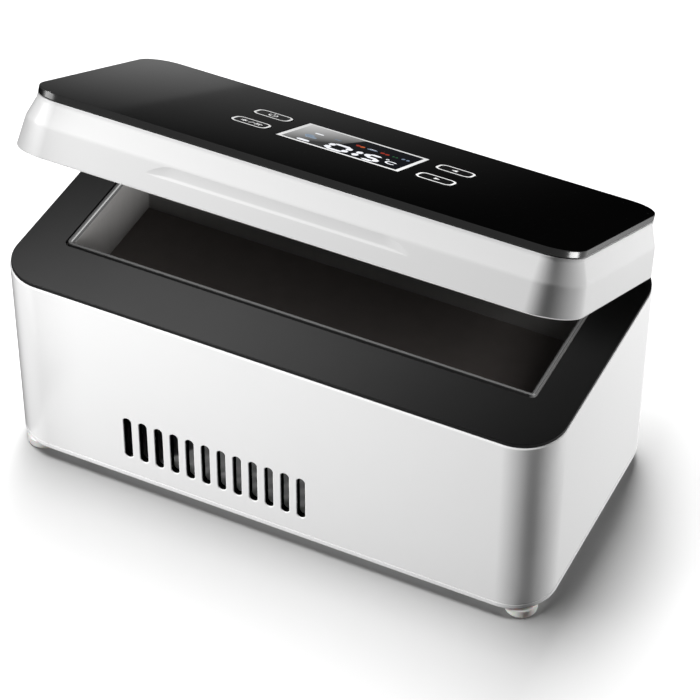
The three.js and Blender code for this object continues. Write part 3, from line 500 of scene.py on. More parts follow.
def piece(name, bm, body, finishes, nodes):
    """Finishes a piece: its mesh goes into the frame, and it rides on a body and stands for CAD nodes.
    All bodies but the case are on the lid."""
    on_case = body == "case"
    bmesh.ops.transform(bm, matrix=case_place if on_case else lid_place, verts=bm.verts)
    thing = new_object(name, bm, [made_finishes[label] for label in finishes])
    thing.data.shade_smooth()
    thing.data.set_sharp_from_angle(angle=math.radians(SHARP_ANGLE))
    normals = thing.modifiers.new("flat_faces", "WEIGHTED_NORMAL")
    normals.keep_sharp = True
    made_pieces[name] = thing
    if not on_case:
        lid_things.append(thing)
    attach(thing, body)
    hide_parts(*nodes)


# Finishes

COLOUR = "NodeSocketColor"
VALUE = "NodeSocketFloat"
VECTOR = "NodeSocketVector"


def colour(tone):
    """A colour from a grey level or from red, green and blue."""
    return (*tone, 1) if isinstance(tone, tuple) else (tone, tone, tone, 1)


def add_node(tree, kind, inputs=None, **settings):
    """Adds a shader node, with inputs that are linked from sockets or set to values. Gives its outputs."""
    node = tree.nodes.new(f"ShaderNode{kind}")
    for setting, value in settings.items():
        setattr(node, setting, value)
    for socket, value in (inputs or {}).items():
        if isinstance(value, bpy.types.NodeSocket):
            tree.links.new(value, node.inputs[socket])
        else:
            node.inputs[socket].default_value = value
    return node.outputs


def maths(tree, operation, *values):
    return add_node(tree, "Math", dict(enumerate(values)), operation=operation)[0]


def ranged(tree, value, start, end, low, high, **settings):
    """Maps a range of values, from its start and its end, to a low and a high value."""
    inputs = {"Value": value, "From Min": start, "From Max": end, "To Min": low, "To Max": high}
    return add_node(tree, "MapRange", inputs, **settings)["Result"]


def mixed(tree, share, first, second, kind="FLOAT"):
    return add_node(tree, "Mix", {"Factor": share, "A": first, "B": second}, data_type=kind)["Result"]


def new_group(name, inputs, outputs):
    tree = bpy.data.node_groups.new(name, "ShaderNodeTree")
    for label, kind, value in inputs:
        tree.interface.new_socket(label, in_out="INPUT", socket_type=kind).default_value = value
    for label, kind in outputs:
        tree.interface.new_socket(label, in_out="OUTPUT", socket_type=kind)
    return tree, tree.nodes.new("NodeGroupInput").outputs, tree.nodes.new("NodeGroupOutput").inputs


def make_grain_group():
    """Two tones in soft clouds, a roughness that drifts with them, and a fine grain for a bump."""
    tree, given, out = new_group(
        "surface_grain",
        [
            ("Tone", COLOUR, colour(0.8)), ("Second Tone", COLOUR, colour(0.75)),
            ("Cloud Scale", VALUE, 60), ("Grain Scale", VALUE, 3000), ("Stretch", VECTOR, (1, 1, 1)),
            ("Smoothest", VALUE, 0.25), ("Roughest", VALUE, 0.35),
        ],
        [("Colour", COLOUR), ("Roughness", VALUE), ("Height", VALUE)],
    )
    spot = add_node(tree, "TexCoord")["Object"]
    drawn = add_node(tree, "VectorMath", {0: spot, 1: given["Stretch"]}, operation="MULTIPLY")[0]
    clouds = add_node(tree, "TexNoise", {"Vector": drawn, "Scale": given["Cloud Scale"], "Detail": 3})["Fac"]
    grain = add_node(tree, "TexNoise", {"Vector": drawn, "Scale": given["Grain Scale"], "Detail": 2})["Fac"]
    both = maths(tree, "MULTIPLY_ADD", grain, 0.5, maths(tree, "MULTIPLY", clouds, 0.5))
    noise_low = 0.3
    noise_high = 0.7
    rough = ranged(tree, both, noise_low, noise_high, given["Smoothest"], given["Roughest"])
    tree.links.new(mixed(tree, clouds, given["Tone"], given["Second Tone"], "RGBA"), out["Colour"])
    tree.links.new(rough, out["Roughness"])
    tree.links.new(grain, out["Height"])
    return tree


grain_group = make_grain_group()


def new_material(name):
    """A new material. Gives it with its node tree and the inputs of its shader."""
    material = bpy.data.materials.new(name)
    material.use_nodes = True
    return material, material.node_tree, material.node_tree.nodes["Principled BSDF"].inputs


def finish(name, tone, second_tone, clouds=60, grain=3000, stretch=(1, 1, 1), rough=(0.25, 0.35), bump=0.1,
           depth=0.02, **shader_values):
    """A material with the grain group on it; shader_values go straight on the shader's sockets."""
    material, tree, shader = new_material(name)
    surface = add_node(tree, "Group", {
        "Tone": colour(tone), "Second Tone": colour(second_tone), "Cloud Scale": clouds,
        "Grain Scale": grain, "Stretch": stretch, "Smoothest": rough[0], "Roughest": rough[1],
    }, node_tree=grain_group)
    relief = add_node(tree, "Bump", {"Strength": bump, "Distance": depth * MM, "Height": surface["Height"]})
    tree.links.new(surface["Colour"], shader["Base Color"])
    tree.links.new(surface["Roughness"], shader["Roughness"])
    tree.links.new(relief["Normal"], shader["Normal"])
    for socket, value in shader_values.items():
        shader[socket.replace("_", " ")].default_value = value
    made_finishes[name] = material


finish("white_plastic", 0.86, 0.84, clouds=25, grain=1500, rough=(0.2, 0.27), bump=0.06)
# Near-black without shine on the vents' inner walls: painted shade where the white walls would lie in shade
finish("vent_painted_shade", 0.004, 0.003, clouds=40, grain=4000, rough=(0.5, 0.6), bump=0.2, Specular_IOR_Level=0)
finish(
    "dark_plastic", 0.035, 0.031, clouds=40, grain=5000, rough=(0.32, 0.42), bump=0.25,
    Specular_IOR_Level=0.04,
)
# Near-black for the rim's sides and the trim's outer faces: painted shade, darker than the rim's own dark
# plastic
finish("painted_shade_black", 0.004, 0.003, clouds=40, grain=5000, rough=(0.4, 0.5), bump=0.2, Specular_IOR_Level=0.1)
finish(
    "black_panel", 0.002, 0.0018, clouds=20, grain=800, rough=(0.04, 0.07), bump=0.01,
    Specular_IOR_Level=0.32,
)
finish("panel_edge", 0.003, 0.0025, grain=2500, rough=(0.18, 0.25), bump=0.04, Specular_IOR_Level=0.25)
finish("key_black", 0.006, 0.005, grain=2500, rough=(0.1, 0.16), bump=0.03)
# White print with a painted glow of its own, which makes it render brighter than the light on it
finish(
    "key_print_painted_glow", 0.9, 0.84, clouds=400, grain=6000, rough=(0.35, 0.5), Emission_Color=colour(1),
    Emission_Strength=0.3,
)
finish("grey_plastic", 0.62, 0.58, clouds=40, rough=(0.4, 0.5), bump=0.3)
finish(
    "foot_rubber", (0.8, 0.8, 0.78), (0.72, 0.72, 0.7), clouds=120, grain=4000, rough=(0.3, 0.42), bump=0.15,
    Subsurface_Weight=0.3, Subsurface_Scale=0.004,
)
finish("gasket_rubber", 0.022, 0.03, clouds=150, grain=5000, rough=(0.55, 0.7), bump=0.3)
finish(
    "trim_aluminium", 0.075, 0.065, clouds=300, grain=2500, stretch=(0.08, 1, 1), rough=(0.38, 0.5),
    bump=0.12, Metallic=0.3, Specular_IOR_Level=0.1,
)
finish(
    "dark_aluminium", (0.215, 0.21, 0.205), (0.19, 0.185, 0.18), clouds=200, stretch=(1, 1, 0.1),
    rough=(0.45, 0.58), bump=0.15, Metallic=0.3,
)
finish(
    "tray_mat", (0.07, 0.062, 0.058), (0.058, 0.051, 0.048), clouds=150, grain=4000, rough=(0.5, 0.65),
    bump=0.25, Specular_IOR_Level=0.2,
)
finish("block_aluminium", 0.5, 0.4, clouds=200, stretch=(1, 0.05, 1), rough=(0.35, 0.5), bump=0.2, Metallic=1)
# Near-black without shine: the heat sink's own black, kept dull as painted shade behind the vents, and
# painted shade on the trim's upright faces
finish(
    "sink_black_and_painted_shade", 0.012, 0.009, clouds=200, stretch=(1, 0.05, 1), rough=(0.45, 0.6), bump=0.2,
    Specular_IOR_Level=0,
)
finish("steel", 0.5, 0.42, clouds=500, grain=5000, rough=(0.25, 0.38), Metallic=1)
finish("inner_plastic", 0.018, 0.024, clouds=80, grain=4000, rough=(0.4, 0.55), bump=0.25)
finish(
    "foam", (0.78, 0.76, 0.7), (0.66, 0.64, 0.58), clouds=700, grain=1800, rough=(0.85, 0.95), bump=0.8,
    depth=0.15,
)
finish(
    "module_ceramic", (0.82, 0.8, 0.76), (0.76, 0.74, 0.7), clouds=300, grain=4000, rough=(0.45, 0.55),
)
finish(
    "circuit_board", (0.012, 0.09, 0.035), (0.03, 0.16, 0.07), clouds=500, stretch=(1, 0.25, 1),
    rough=(0.3, 0.45), bump=0.2,
)
finish("cell_wrap", (0.03, 0.15, 0.42), (0.025, 0.12, 0.36), clouds=120)
finish("lead_jacket", 0.02, 0.028, clouds=300, grain=5000, rough=(0.4, 0.5), bump=0.2)
# White frame with a painted glow of its own, which makes it render brighter than the light on it
finish(
    "window_frame_painted_glow", 0.9, 0.86, clouds=200, grain=4000, rough=(0.2, 0.3), bump=0.02, Emission_Color=colour(1),
    Emission_Strength=0.3,
)

# The two tones of the display's marks, and how much light they give of their own
MARK_FINISHES = {
    "mark_white": (0.85, (0.7, 0.75, 0.9), 0.55),
    "mark_pale": ((0.3, 0.38, 0.5), (0.2, 0.28, 0.42), 0.1),
    "mark_blue": ((0.42, 0.52, 0.64), (0.32, 0.42, 0.55), 0.1),
    "mark_red": ((0.55, 0.05, 0.02), (0.3, 0.015, 0.01), 0.15),
    "mark_orange": ((0.75, 0.16, 0.04), (0.6, 0.07, 0.02), 0.2),
    "mark_green": ((0.03, 0.2, 0.06), (0.02, 0.1, 0.04), 0.1),
}
WHITE, PALE, BLUE, RED, ORANGE, GREEN = range(len(MARK_FINISHES))
for name, (tone, second_tone, strength) in MARK_FINISHES.items():
    finish(
        name, tone, second_tone, clouds=900, grain=9000, rough=(0.15, 0.25), bump=0.02,
        Emission_Color=colour(tone), Emission_Strength=strength,
    )


def make_display_face_and_painted_glare():
    """The dark face of the display, with a painted glare (a pale painted reflection) to the left of a
    slanting line.
    The painted glare is palest at the far left, and the face gives a little light of its own, painted glare
    included."""
    finish(
        "display_face", 0.004, (0.003, 0.004, 0.008), clouds=200, grain=4000, rough=(0.05, 0.09), bump=0.01,
        Specular_IOR_Level=0.15, Emission_Strength=0.3,
    )
    # Where the painted glare's edge lies, and how its painted grey runs: palest to the left and towards the
    # top of the window
    slant = -0.154
    painted_glare_edge = 0.35
    soft_edge = 0.02
    painted_glare_left = 0.22
    painted_glare_middle = -0.34
    painted_glare_back = 0.61
    painted_glare_least = 0.04
    tree = made_finishes["display_face"].node_tree
    shader = tree.nodes["Principled BSDF"].inputs
    dark = shader["Base Color"].links[0].from_socket
    spot = add_node(tree, "SeparateXYZ", {0: add_node(tree, "UVMap", uv_map="face_map")["UV"]})
    line = maths(tree, "MULTIPLY_ADD", spot["Y"], slant, spot["X"])
    painted_glare_mask = ranged(tree, line, painted_glare_edge, painted_glare_edge - soft_edge, 0, 1, interpolation_type="SMOOTHSTEP")
    painted_glare_to_left = ranged(tree, spot["X"], 0, 0.5, painted_glare_left, painted_glare_middle)
    painted_glare_to_back = maths(tree, "MULTIPLY_ADD", spot["Y"], painted_glare_back, painted_glare_to_left)
    # The face's colour and its own light: dark, or the painted glare left of the slanting line
    shade = mixed(tree, painted_glare_mask, dark, maths(tree, "MAXIMUM", painted_glare_to_back, painted_glare_least), "RGBA")
    tree.links.new(shade, shader["Base Color"])
    tree.links.new(shade, shader["Emission Color"])


make_display_face_and_painted_glare()


# Case


def make_shell():
    bm, rings = ring_wall(case_plan, 0, shell_wall, shell_bottom, shell_top, steps=corner_steps)
    round_edges(bm, rings[0], shell_foot_round)
    round_edges(bm, rings[1], shell_top_round, steps=4)
    wall = case_width / 2
    inside = wall - shell_wall - PAST
    vent = slot_plan(vent_width, vent_height)
    vent_places = [(x, vent_middle_z) for x in spread(vent_count, vent_pitch, vent_middle_x)]
    # The vents' inner walls take the second finish, painted shade; their rounded mouths stay white
    vents = holes(vent_places, vent, inside, wall, vent_flare, wall_index=1)
    socket_hole = hole(round_plan(socket_nose + ease), inside, wall, socket_flare)
    socket_hole = moved(turned(socket_hole, -90, "X"), socket_x, 0, socket_z)
    bm = combined(bm, *cut(turned(vents, 90, "X"), socket_hole))
    piece("shell", bm, "case", ["white_plastic", "vent_painted_shade"], ["body_shell"])


def make_cover():
    tongue_inset = shell_wall + ease
    tongue_inner = tongue_inset + tongue_wall
    bm, rings = swept(case_plan, [
        (cover_bevel, cover_bottom), (0, cover_bottom + cover_bevel), (0, cover_top),
        (tongue_inset, cover_top), (tongue_inset, tongue_top), (tongue_inner, tongue_top),
        (tongue_inner, cover_floor),
    ])
    round_edges(bm, rings[0], cover_round)
    round_edges(bm, rings[1], cover_round)
    round_edges(bm, rings[2], cover_top_round)
    intake = slot_plan(intake_width, intake_length)
    intake_places = [(x, 0) for x in spread(intake_count, intake_pitch, vent_middle_x)]
    intakes = holes(intake_places, intake, -cover_floor - PAST, -cover_bottom, intake_flare)
    recess = round_plan(screw_head + ease)
    places = corners(screw_x, screw_y).values()
    recesses = holes(places, recess, -cover_bottom - screw_recess, -cover_bottom, screw_flare)
    bm = combined(bm, *cut(turned(intakes, 180, "X"), turned(recesses, 180, "X")))
    piece("cover", bm, "case", ["white_plastic"], ["base_cover"])


def make_feet():
    top = cover_bottom - seam
    for corner in corners(0, 0):
        low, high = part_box(f"foot_{corner}")
        middle = (low + high) / 2
        radius = (high.x - low.x) / 2 / MM
        stem_top = high.z / MM
        bm = lathe([
            (0, foot_hollow),
            *[(radius - inset, level) for inset, level in foot_lower],
            *[(radius - inset, top - depth) for inset, depth in foot_upper],
            (foot_stem, top), (foot_stem, stem_top), (0, stem_top),
        ])
        moved(bm, middle.x / MM, (middle.y - body_middle) / MM)
        piece(f"pad_{corner}", bm, "case", ["foot_rubber"], [f"foot_{corner}"])


def screw(head_radius, head_height, shank_radius, length):
    """A round-headed screw with a cross recess, head down. Its head's end is at level 0."""
    bm = lathe([
        *[(share * head_radius, -depth) for share, depth in screw_dome],
        (head_radius, -head_height), (shank_radius, -head_height), (shank_radius, -length + screw_tip),
        (screw_point * shank_radius, -length), (0, -length),
    ], steps=screw_sides)
    reach = cross_reach * head_radius
    side = cross_side * head_radius
    depth = cross_depth * head_height
    bars = [block(-reach, reach, -side, side, -depth, 1), block(-side, side, -reach, reach, -depth, 1)]
    return turned(combined(bm, *cut(*bars)), 180, "X")


def make_screws():
    for corner, (x, y) in corners(screw_x, screw_y).items():
        bm = screw(screw_head, screw_head_height, screw_shank, screw_length)
        moved(bm, x, y, cover_bottom + screw_sink)
        piece(f"screw_{corner}", bm, "case", ["steel"], [f"cover_screw_{corner}"])
    for corner, (x, y) in corners(liner_screw_x, liner_screw_y).items():
        bm = screw(liner_screw_head, liner_screw_head_height, liner_screw_shank, liner_screw_length)
        moved(bm, x, y, liner_bottom - liner_screw_proud)
        piece(f"lid_screw_{corner}", bm, "lid", ["steel"], [f"liner_screw_{corner}"])


def knuckle(x):
    """A knuckle that stands on the rim and reaches round the hinge axis."""
    top = hinge_z + knuckle_radius
    height = top - rim_bottom + 2 * knuckle_radius
    half = knuckle_length / 2
    bm, rings = swept(slot_plan(2 * knuckle_radius, height), [(0, -half), (0, half)], steps=2 * small_steps)
    round_edges(bm, rings[0] + rings[1], knuckle_round, steps=2)
    turned(turned(bm, 90, "X"), 90, "Z")
    moved(bm, x, hinge_y, top - height / 2)
    made = bmesh.ops.bisect_plane(
        bm, geom=bm.verts[:] + bm.edges[:] + bm.faces[:], plane_co=(0, 0, rim_bottom + seam),
        plane_no=(0, 0, -1), clear_outer=True,
    )["geom_cut"]
    bmesh.ops.contextual_create(bm, geom=[part for part in made if isinstance(part, bmesh.types.BMEdge)])
    return face_out(bm)


def make_rim():
    flange_inset = shell_wall + ease
    flange_inner = flange_inset + rim_flange_wall
    bm, rings = swept(case_plan, [
        (flange_inner, rim_bottom), (flange_inner, flange_bottom), (flange_inset, flange_bottom),
        (flange_inset, rim_bottom), (rim_inset, rim_bottom), (rim_inset, rim_top),
    ])
    round_edges(bm, rings[-1], rim_round)
    # The rim's sides take the second finish: painted shade, darker than its top
    painted(bm, 1, lambda face: face.calc_center_median().z > rim_bottom and face.normal.z < NEARLY)
    opening = hole(well_plan(rim_gap), rim_bottom - 2 * PAST, rim_top, rim_flare, steps=small_steps)
    bm = combined(bm, *cut(opening), *join(*[knuckle(x) for x in rim_knuckles]))
    piece("rim", bm, "case", ["dark_plastic", "painted_shade_black"], ["top_rim"])


def make_trim():
    bm, rings = ring_wall(well_plan(), trim_gap, tray_wall, trim_bottom, trim_top)
    round_edges(bm, rings[1], trim_outer_round)
    round_edges(bm, rings[2], trim_inner_round)

    def outward(face):
        return face.normal.xy.dot(face.calc_center_median().xy) > 0 and face.normal.z < NEARLY

    # Upright and outward faces are painted dark as painted shade; the tops and the inner round keep the
    # aluminium
    painted(bm, 2, lambda face: abs(face.normal.z) < 1 - NEARLY)
    painted(bm, 1, outward)
    finishes = ["trim_aluminium", "painted_shade_black", "sink_black_and_painted_shade"]
    piece("trim", bm, "case", finishes, ["well_trim"])


def make_tray():
    bm, rings = swept(
        well_plan(),
        [(0, tray_bottom), (0, tray_top), (tray_wall, tray_top), (tray_wall, tray_bottom + tray_wall)],
        steps=small_steps,
    )
    round_edges(bm, rings[0] + rings[2], tray_round)
    upward = [face for face in bm.faces if face.normal.z > NEARLY]
    floor_face = min(upward, key=lambda face: face.calc_center_median().z)
    floor_face.material_index = 1
    piece("tray", bm, "case", ["dark_aluminium", "tray_mat"], ["cold_tray"])


def make_socket():
    low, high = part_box("dc_socket")
    end = (high.y - body_middle) / MM
    root = end - socket_nose_length
    bore_end = end - socket_bore_depth
    pin_end = end - socket_pin_sink
    pin_root = end - socket_pin_root
    bm = lathe([
        (0, bore_end), (socket_bore, bore_end), (socket_bore, end - socket_edge),
        (socket_bore + socket_edge, end), (socket_nose - socket_edge, end),
        (socket_nose, end - socket_edge), (socket_nose, root), (0, root),
    ])
    pin = lathe([
        (0, pin_root), (socket_pin, pin_root), (socket_pin, pin_end - socket_pin_taper),
        (socket_pin - socket_pin_taper, pin_end), (0, pin_end),
    ], steps=pin_sides)
    append(bm, painted(pin, 1))
    turned(bm, -90, "X")
    moved(bm, socket_x, 0, socket_z)
    housing = block(low.x / MM, high.x / MM, (low.y - body_middle) / MM, root, low.z / MM, high.z / MM)
    round_edges(housing, housing.edges[:], socket_housing_round)
    append(bm, housing)
    piece("socket", bm, "case", ["inner_plastic", "steel"], ["dc_socket"])


# Lid


def lid_inset(level):
    if level < break_level:
        share = (level - rim_top) / (break_level - rim_top)
        return lid_foot_inset + share * (lid_break_inset - lid_foot_inset)
    share = min(1, (level - break_level) / (lid_top - lid_lip - break_level))
    return lid_break_inset + share * (lid_top_inset - lid_break_inset)


def scoop_section(share):
    """The scoop's fall and depth at a share of the way down its section: it deepens under the break line,
    and comes out again over a short ledge."""
    slope_fall = scoop_drop - scoop_ledge
    if share < scoop_slope_share:
        part = share / scoop_slope_share
        return slope_fall * part, scoop_depth * (1 - (1 - part) ** scoop_slope_power)
    part = (share - scoop_slope_share) / (1 - scoop_slope_share)
    return slope_fall + scoop_ledge * part, scoop_depth * (1 - part)


def scoop_shape():
    """The finger scoop: a groove under the break line, whose ends run down to its ledge."""
    bm = bmesh.new()
    bmesh.ops.create_grid(bm, x_segments=scoop_columns, y_segments=scoop_rows, size=0.5)
    foot = break_level - scoop_drop
    for vert in bm.verts:
        x = vert.co.x * NEARLY * scoop_foot_length
        past_top = max(0, abs(x) - scoop_top_length / 2)
        height = 1 - (2 * past_top / (scoop_foot_length - scoop_top_length)) ** scoop_end_power
        fall, depth = scoop_section(0.5 - vert.co.y)
        level = foot + (scoop_drop - fall) * height
        inset = lid_inset(level) + depth * height * math.sqrt(height) - scoop_start
        vert.co = (scoop_x + x, -case_width / 2 + inset, level)
    made = bmesh.ops.extrude_face_region(bm, geom=bm.faces[:])["geom"]
    for vert in made:
        if isinstance(vert, bmesh.types.BMVert):
            vert.co.y = -case_width / 2 - PAST
    return face_out(bm)


def make_lid():
    foot_inset = lid_inset(lid_bottom)
    bm, rings = swept(case_plan, [
        (lid_inset(deck_bottom) + lid_wall, deck_bottom), (lid_break_inset + lid_wall, break_level),
        (foot_inset + lid_wall, lid_bottom), (foot_inset, lid_bottom), (lid_break_inset, break_level),
        (lid_top_inset, lid_top - lid_lip), (lid_top_inset, lid_top),
    ])
    round_edges(bm, rings[2], lid_inner_round)
    round_edges(bm, rings[3], lid_foot_round, steps=4)
    round_edges(bm, rings[4], lid_break_round)
    round_edges(bm, rings[6], lid_top_round)
    pad = block(scoop_x - pad_half, scoop_x + pad_half, pad_front, pad_back, pad_bottom, pad_top)
    rail = hinge_rod(rail_radius, rail_half)
    swing = combined(
        block(-case_length, case_length, hinge_y, case_width, lid_bottom - PAST, hinge_z),
        *cut(hinge_rod(swing_radius, 2 * case_length)),
    )
    notch_half = knuckle_length / 2 + ease
    notch_reach = knuckle_radius + ease
    notches = gathered(
        block(
            x - notch_half, x + notch_half, hinge_y - notch_reach, case_width, lid_bottom - PAST,
            hinge_z + notch_reach,
        )
        for x in rim_knuckles
    )
    opening = swept(deck_opening, [(0, deck_bottom - PAST), (0, lid_top + PAST)], steps=small_steps)[0]
    bm = combined(
        bm, *join(pad, rail), *cut(swing, notches, moved(opening, 0, panel_y), scoop_shape()),
    )
    piece("lid", bm, "lid", ["white_plastic"], ["lid_shell"])


def make_liner():
    inset = lid_inset(liner_top) + lid_wall + ease
    low = liner_bottom - PAST
    high = liner_top + PAST
    bm, rings = swept(case_plan, [(inset, liner_bottom), (inset, liner_top)])
    round_edges(bm, rings[0], liner_round)
    back_cut = block(-case_length, case_length, liner_back, case_width, low, high)
    cut_half = pad_half + ease
    front_cut = block(scoop_x - cut_half, scoop_x + cut_half, -case_width, pad_back + ease, low, high)
    groove_plan = well_plan(gasket_offset + gasket_width + ease)
    groove = ring_wall(groove_plan, 0, gasket_width + 2 * ease, low, groove_top)[0]
    recess = round_plan(liner_screw_head + ease)
    places = corners(liner_screw_x, liner_screw_y).values()
    recesses = holes(places, recess, -liner_bottom - liner_screw_recess, -liner_bottom, liner_screw_flare)
    bm = combined(bm, *cut(back_cut, front_cut, groove, turned(recesses, 180, "X")))
    piece("liner", bm, "lid", ["grey_plastic"], ["lid_liner"])


def make_gasket():
    plan = well_plan(gasket_offset + gasket_width)
    bm, rings = ring_wall(plan, 0, gasket_width, gasket_top, gasket_bottom)
    round_edges(bm, rings[1] + rings[2], gasket_round, steps=4)
    piece("gasket", bm, "lid", ["gasket_rubber"], ["lid_gasket"])


# Control panel

key_places = {
    "power": (-key_x, panel_y + key_row),
    "mode": (-key_x, panel_y - key_row),
    "up": (key_x, panel_y + key_row),
    "down": (key_x, panel_y - key_row),
}


def make_panel():
    bm, rings = swept(case_plan, [(panel_inset, panel_bottom), (panel_inset, panel_top)])
    round_edges(bm, rings[0], panel_foot_round)
    round_edges(bm, rings[1], panel_top_round, steps=4)
    painted(bm, 1, lambda face: face.normal.z < NEARLY)
    low = panel_bottom - PAST
    window_plan = (window_length + 2 * ease, window_width + 2 * ease, ease)
    window = hole(window_plan, low, panel_top, window_flare, steps=3)
    key_plan = (key_length + 2 * ease, key_width + 2 * ease, key_corner + ease)
    keys = holes(key_places.values(), key_plan, low, panel_top, key_flare)
    bm = combined(bm, *cut(moved(window, 0, panel_y), keys))
    piece("panel", bm, "lid", ["black_panel", "panel_edge"], ["lid_panel"])


def top_face(bm):
    return max(bm.faces, key=lambda face: face.calc_center_median().z + face.normal.z)


def bordered(bm, margin, width, border_index, inner_index):
    """Insets the top face twice, so that a border of another finish runs round it."""
    face = top_face(bm)
    bmesh.ops.inset_region(bm, faces=[face], thickness=margin, use_even_offset=True)
    made = bmesh.ops.inset_region(bm, faces=[face], thickness=width, use_even_offset=True)["faces"]
    for part in made:
        part.material_index = border_index
    face.material_index = inner_index


def plate(plan, x, y, turn=0, index=0, steps=3):
    """A thin printed shape that lies on the panel."""
    bm = swept(plan, [(0, panel_top), (0, panel_top + print_height)], steps=steps)[0]
    return painted(moved(turned(bm, turn, "Z"), x, y), index)


def wedge(radius, y, turn):
    """A thin printed triangle."""
    return moved(turned(prism(3, radius, print_height), turn, "Z"), 0, y, panel_top + print_height / 2)


def arc(radius, width, x, y, start, sweep):
    """A thin printed arc, from a start angle through a sweep in degrees."""
    bm = turned(rectangle(width, print_height), 90, "X")
    moved(bm, radius, 0, panel_top + print_height / 2)
    edges = bm.edges[:]
    bmesh.ops.delete(bm, geom=bm.faces[:], context="FACES_ONLY")
    full = abs(sweep) >= 360
    bmesh.ops.spin(
        bm, geom=bm.verts[:] + edges, cent=(0, 0, 0), axis=(0, 0, 1), angle=math.radians(sweep), steps=24,
        use_merge=full,
    )
    if not full:
        bmesh.ops.holes_fill(bm, edges=bm.edges[:], sides=4)
    return moved(turned(face_out(bm), start, "Z"), x, y)


def key_symbol(name):
    """The printed symbol of a key, about the origin: generic shapes only."""
    if name == "power":
        line = 0.45
        return [
            arc(1.5, line, 0, -0.1, start=125, sweep=290), plate(slot_plan(1.9, line), 0, 1.1, turn=90),
        ]
    if name == "mode":
        line = 0.4
        aside = 2.6
        spokes = [plate(slot_plan(2.5, line), -aside, 0, turn) for turn in (30, 90, 150)]
        slash = plate(slot_plan(2.6, line), 0, 0, turn=60)
        ring = arc(0.65, line, aside, 0, start=0, sweep=360)
        rays = [
            moved(turned(plate(slot_plan(0.7, line), 1.35, 0), turn, "Z"), aside, 0)
            for turn in range(0, 360, 60)
        ]
        return [*spokes, slash, ring, *rays]
    way = 1 if name == "up" else -1
    return [wedge(1.35, -0.15 * way, 90 * way)]


def make_keys():
    for name, (x, y) in key_places.items():
        bm, rings = swept(
            (key_length, key_width, key_corner),
            [
                (-key_flange, key_flange_bottom), (-key_flange, key_flange_top), (0, key_flange_top),
                (0, key_top),
            ],
            steps=slot_steps,
        )
        bordered(bm, key_margin, key_border, border_index=1, inner_index=0)
        round_edges(bm, rings[-1], key_round, steps=2)
        for part in key_symbol(name):
            append(bm, moved(painted(part, 1), 0, 0, key_top - panel_top))
        moved(bm, x, y)
        piece(f"{name}_cap", bm, name, ["key_black", "key_print_painted_glow"], [f"{name}_key"])


def make_window():
    half_length = window_length / 2
    half_width = window_width / 2
    bm = block(-half_length, half_length, panel_y - half_width, panel_y + half_width, panel_bottom, panel_top)
    edges = top_face(bm).edges[:]
    bordered(bm, window_margin, window_border, border_index=1, inner_index=2)
    round_edges(bm, edges, window_round, steps=2)
    face_map = bm.loops.layers.uv.new("face_map")
    for face in bm.faces:
        for loop in face.loops:
            loop[face_map].uv = (
                loop.vert.co.x / window_length + 0.5, (loop.vert.co.y - panel_y) / window_width + 0.5,
            )
    # The third finish, on the face inside the frame, carries the painted glare
    finishes = ["black_panel", "window_frame_painted_glow", "display_face"]
    piece("window", bm, "lid", finishes, ["display_window"])


SEGMENTS = {"0": "abcdef", "1": "bc", "5": "afgcd"}


def digit(text, x, y, width, height, thick):
    """A seven-segment digit whose lower left corner is at x, y."""
    half = (height - thick) / 2
    gap = 0.15 * thick
    across = width - thick - gap
    upright = half - gap
    left = x + thick / 2
    right = x + width - thick / 2
    centre = x + width / 2
    low = y + thick / 2
    middle = low + half
    high = low + 2 * half
    places = {
        "a": (across, centre, high, 0), "g": (across, centre, middle, 0), "d": (across, centre, low, 0),
        "f": (upright, left, middle + half / 2, 90), "b": (upright, right, middle + half / 2, 90),
        "e": (upright, left, low + half / 2, 90), "c": (upright, right, low + half / 2, 90),
    }
    shapes = []
    for name in SEGMENTS[text]:
        length, spot_x, spot_y, turn = places[name]
        shapes.append(plate((length, thick, NEARLY * thick / 2), spot_x, spot_y, turn, steps=1))
    return shapes


# Plain marks on the display: their outline, how far across and up the window they are, turn and finish
DISPLAY_MARKS = [
    ((4.6, 2.3, 1.1), 0.19, 0.135, 0, WHITE),
    ((3.4, 3.4, 1.6), 0.165, 0.42, 0, BLUE),
    ((4.2, 2.2, 1), 0.19, 0.36, 0, BLUE),
    ((3.2, 1.5, 0.7), 0.192, 0.61, 0, WHITE),
    (slot_plan(2.6, 0.8), 0.35, 0.6, 0, PALE),
    ((1.6, 2.4, 0.7), 0.508, 0.63, 20, RED),
    ((1.5, 2.1, 0.7), 0.545, 0.62, -15, ORANGE),
    (slot_plan(3.8, 1.3), 0.626, 0.62, 0, PALE),
    (slot_plan(2.4, 0.6), 0.626, 0.64, 0, WHITE),
    ((1.5, 1.9, 0.7), 0.71, 0.62, 0, RED),
    ((1.5, 1.9, 0.7), 0.75, 0.615, 0, RED),
    ((0.8, 1.2, 0.35), 0.802, 0.61, 0, GREEN),
    ((0.8, 1.2, 0.35), 0.83, 0.61, 0, GREEN),
    ((1.1, 1.7, 0.5), 0.878, 0.63, 0, PALE),
    ((1.1, 1.7, 0.5), 0.915, 0.63, 0, PALE),
]


def make_display_marks():
    """Digits along the lower edge of the display, and a row of plain marks above them."""

    def across(share):
        return (share - 0.5) * window_length

    def up(share):
        return panel_y + (share - 0.5) * window_width

    height = 0.36 * window_width
    base = up(0.075)
    bm = gathered([
        *digit("0", across(0.355), base, width=8.4, height=height, thick=2.1),
        *digit("1", across(0.5), base, width=5.7, height=height, thick=2.1),
        *digit("5", across(0.645), base, width=6.6, height=height, thick=2),
        arc(1.75, 0.75, across(0.868), up(0.285), start=40, sweep=280),
        arc(0.45, 0.35, across(0.812), up(0.395), start=0, sweep=360),
        *[plate(plan, across(x), up(y), turn, index) for plan, x, y, turn, index in DISPLAY_MARKS],
    ])
    piece("display_marks", bm, "lid", MARK_FINISHES, [])


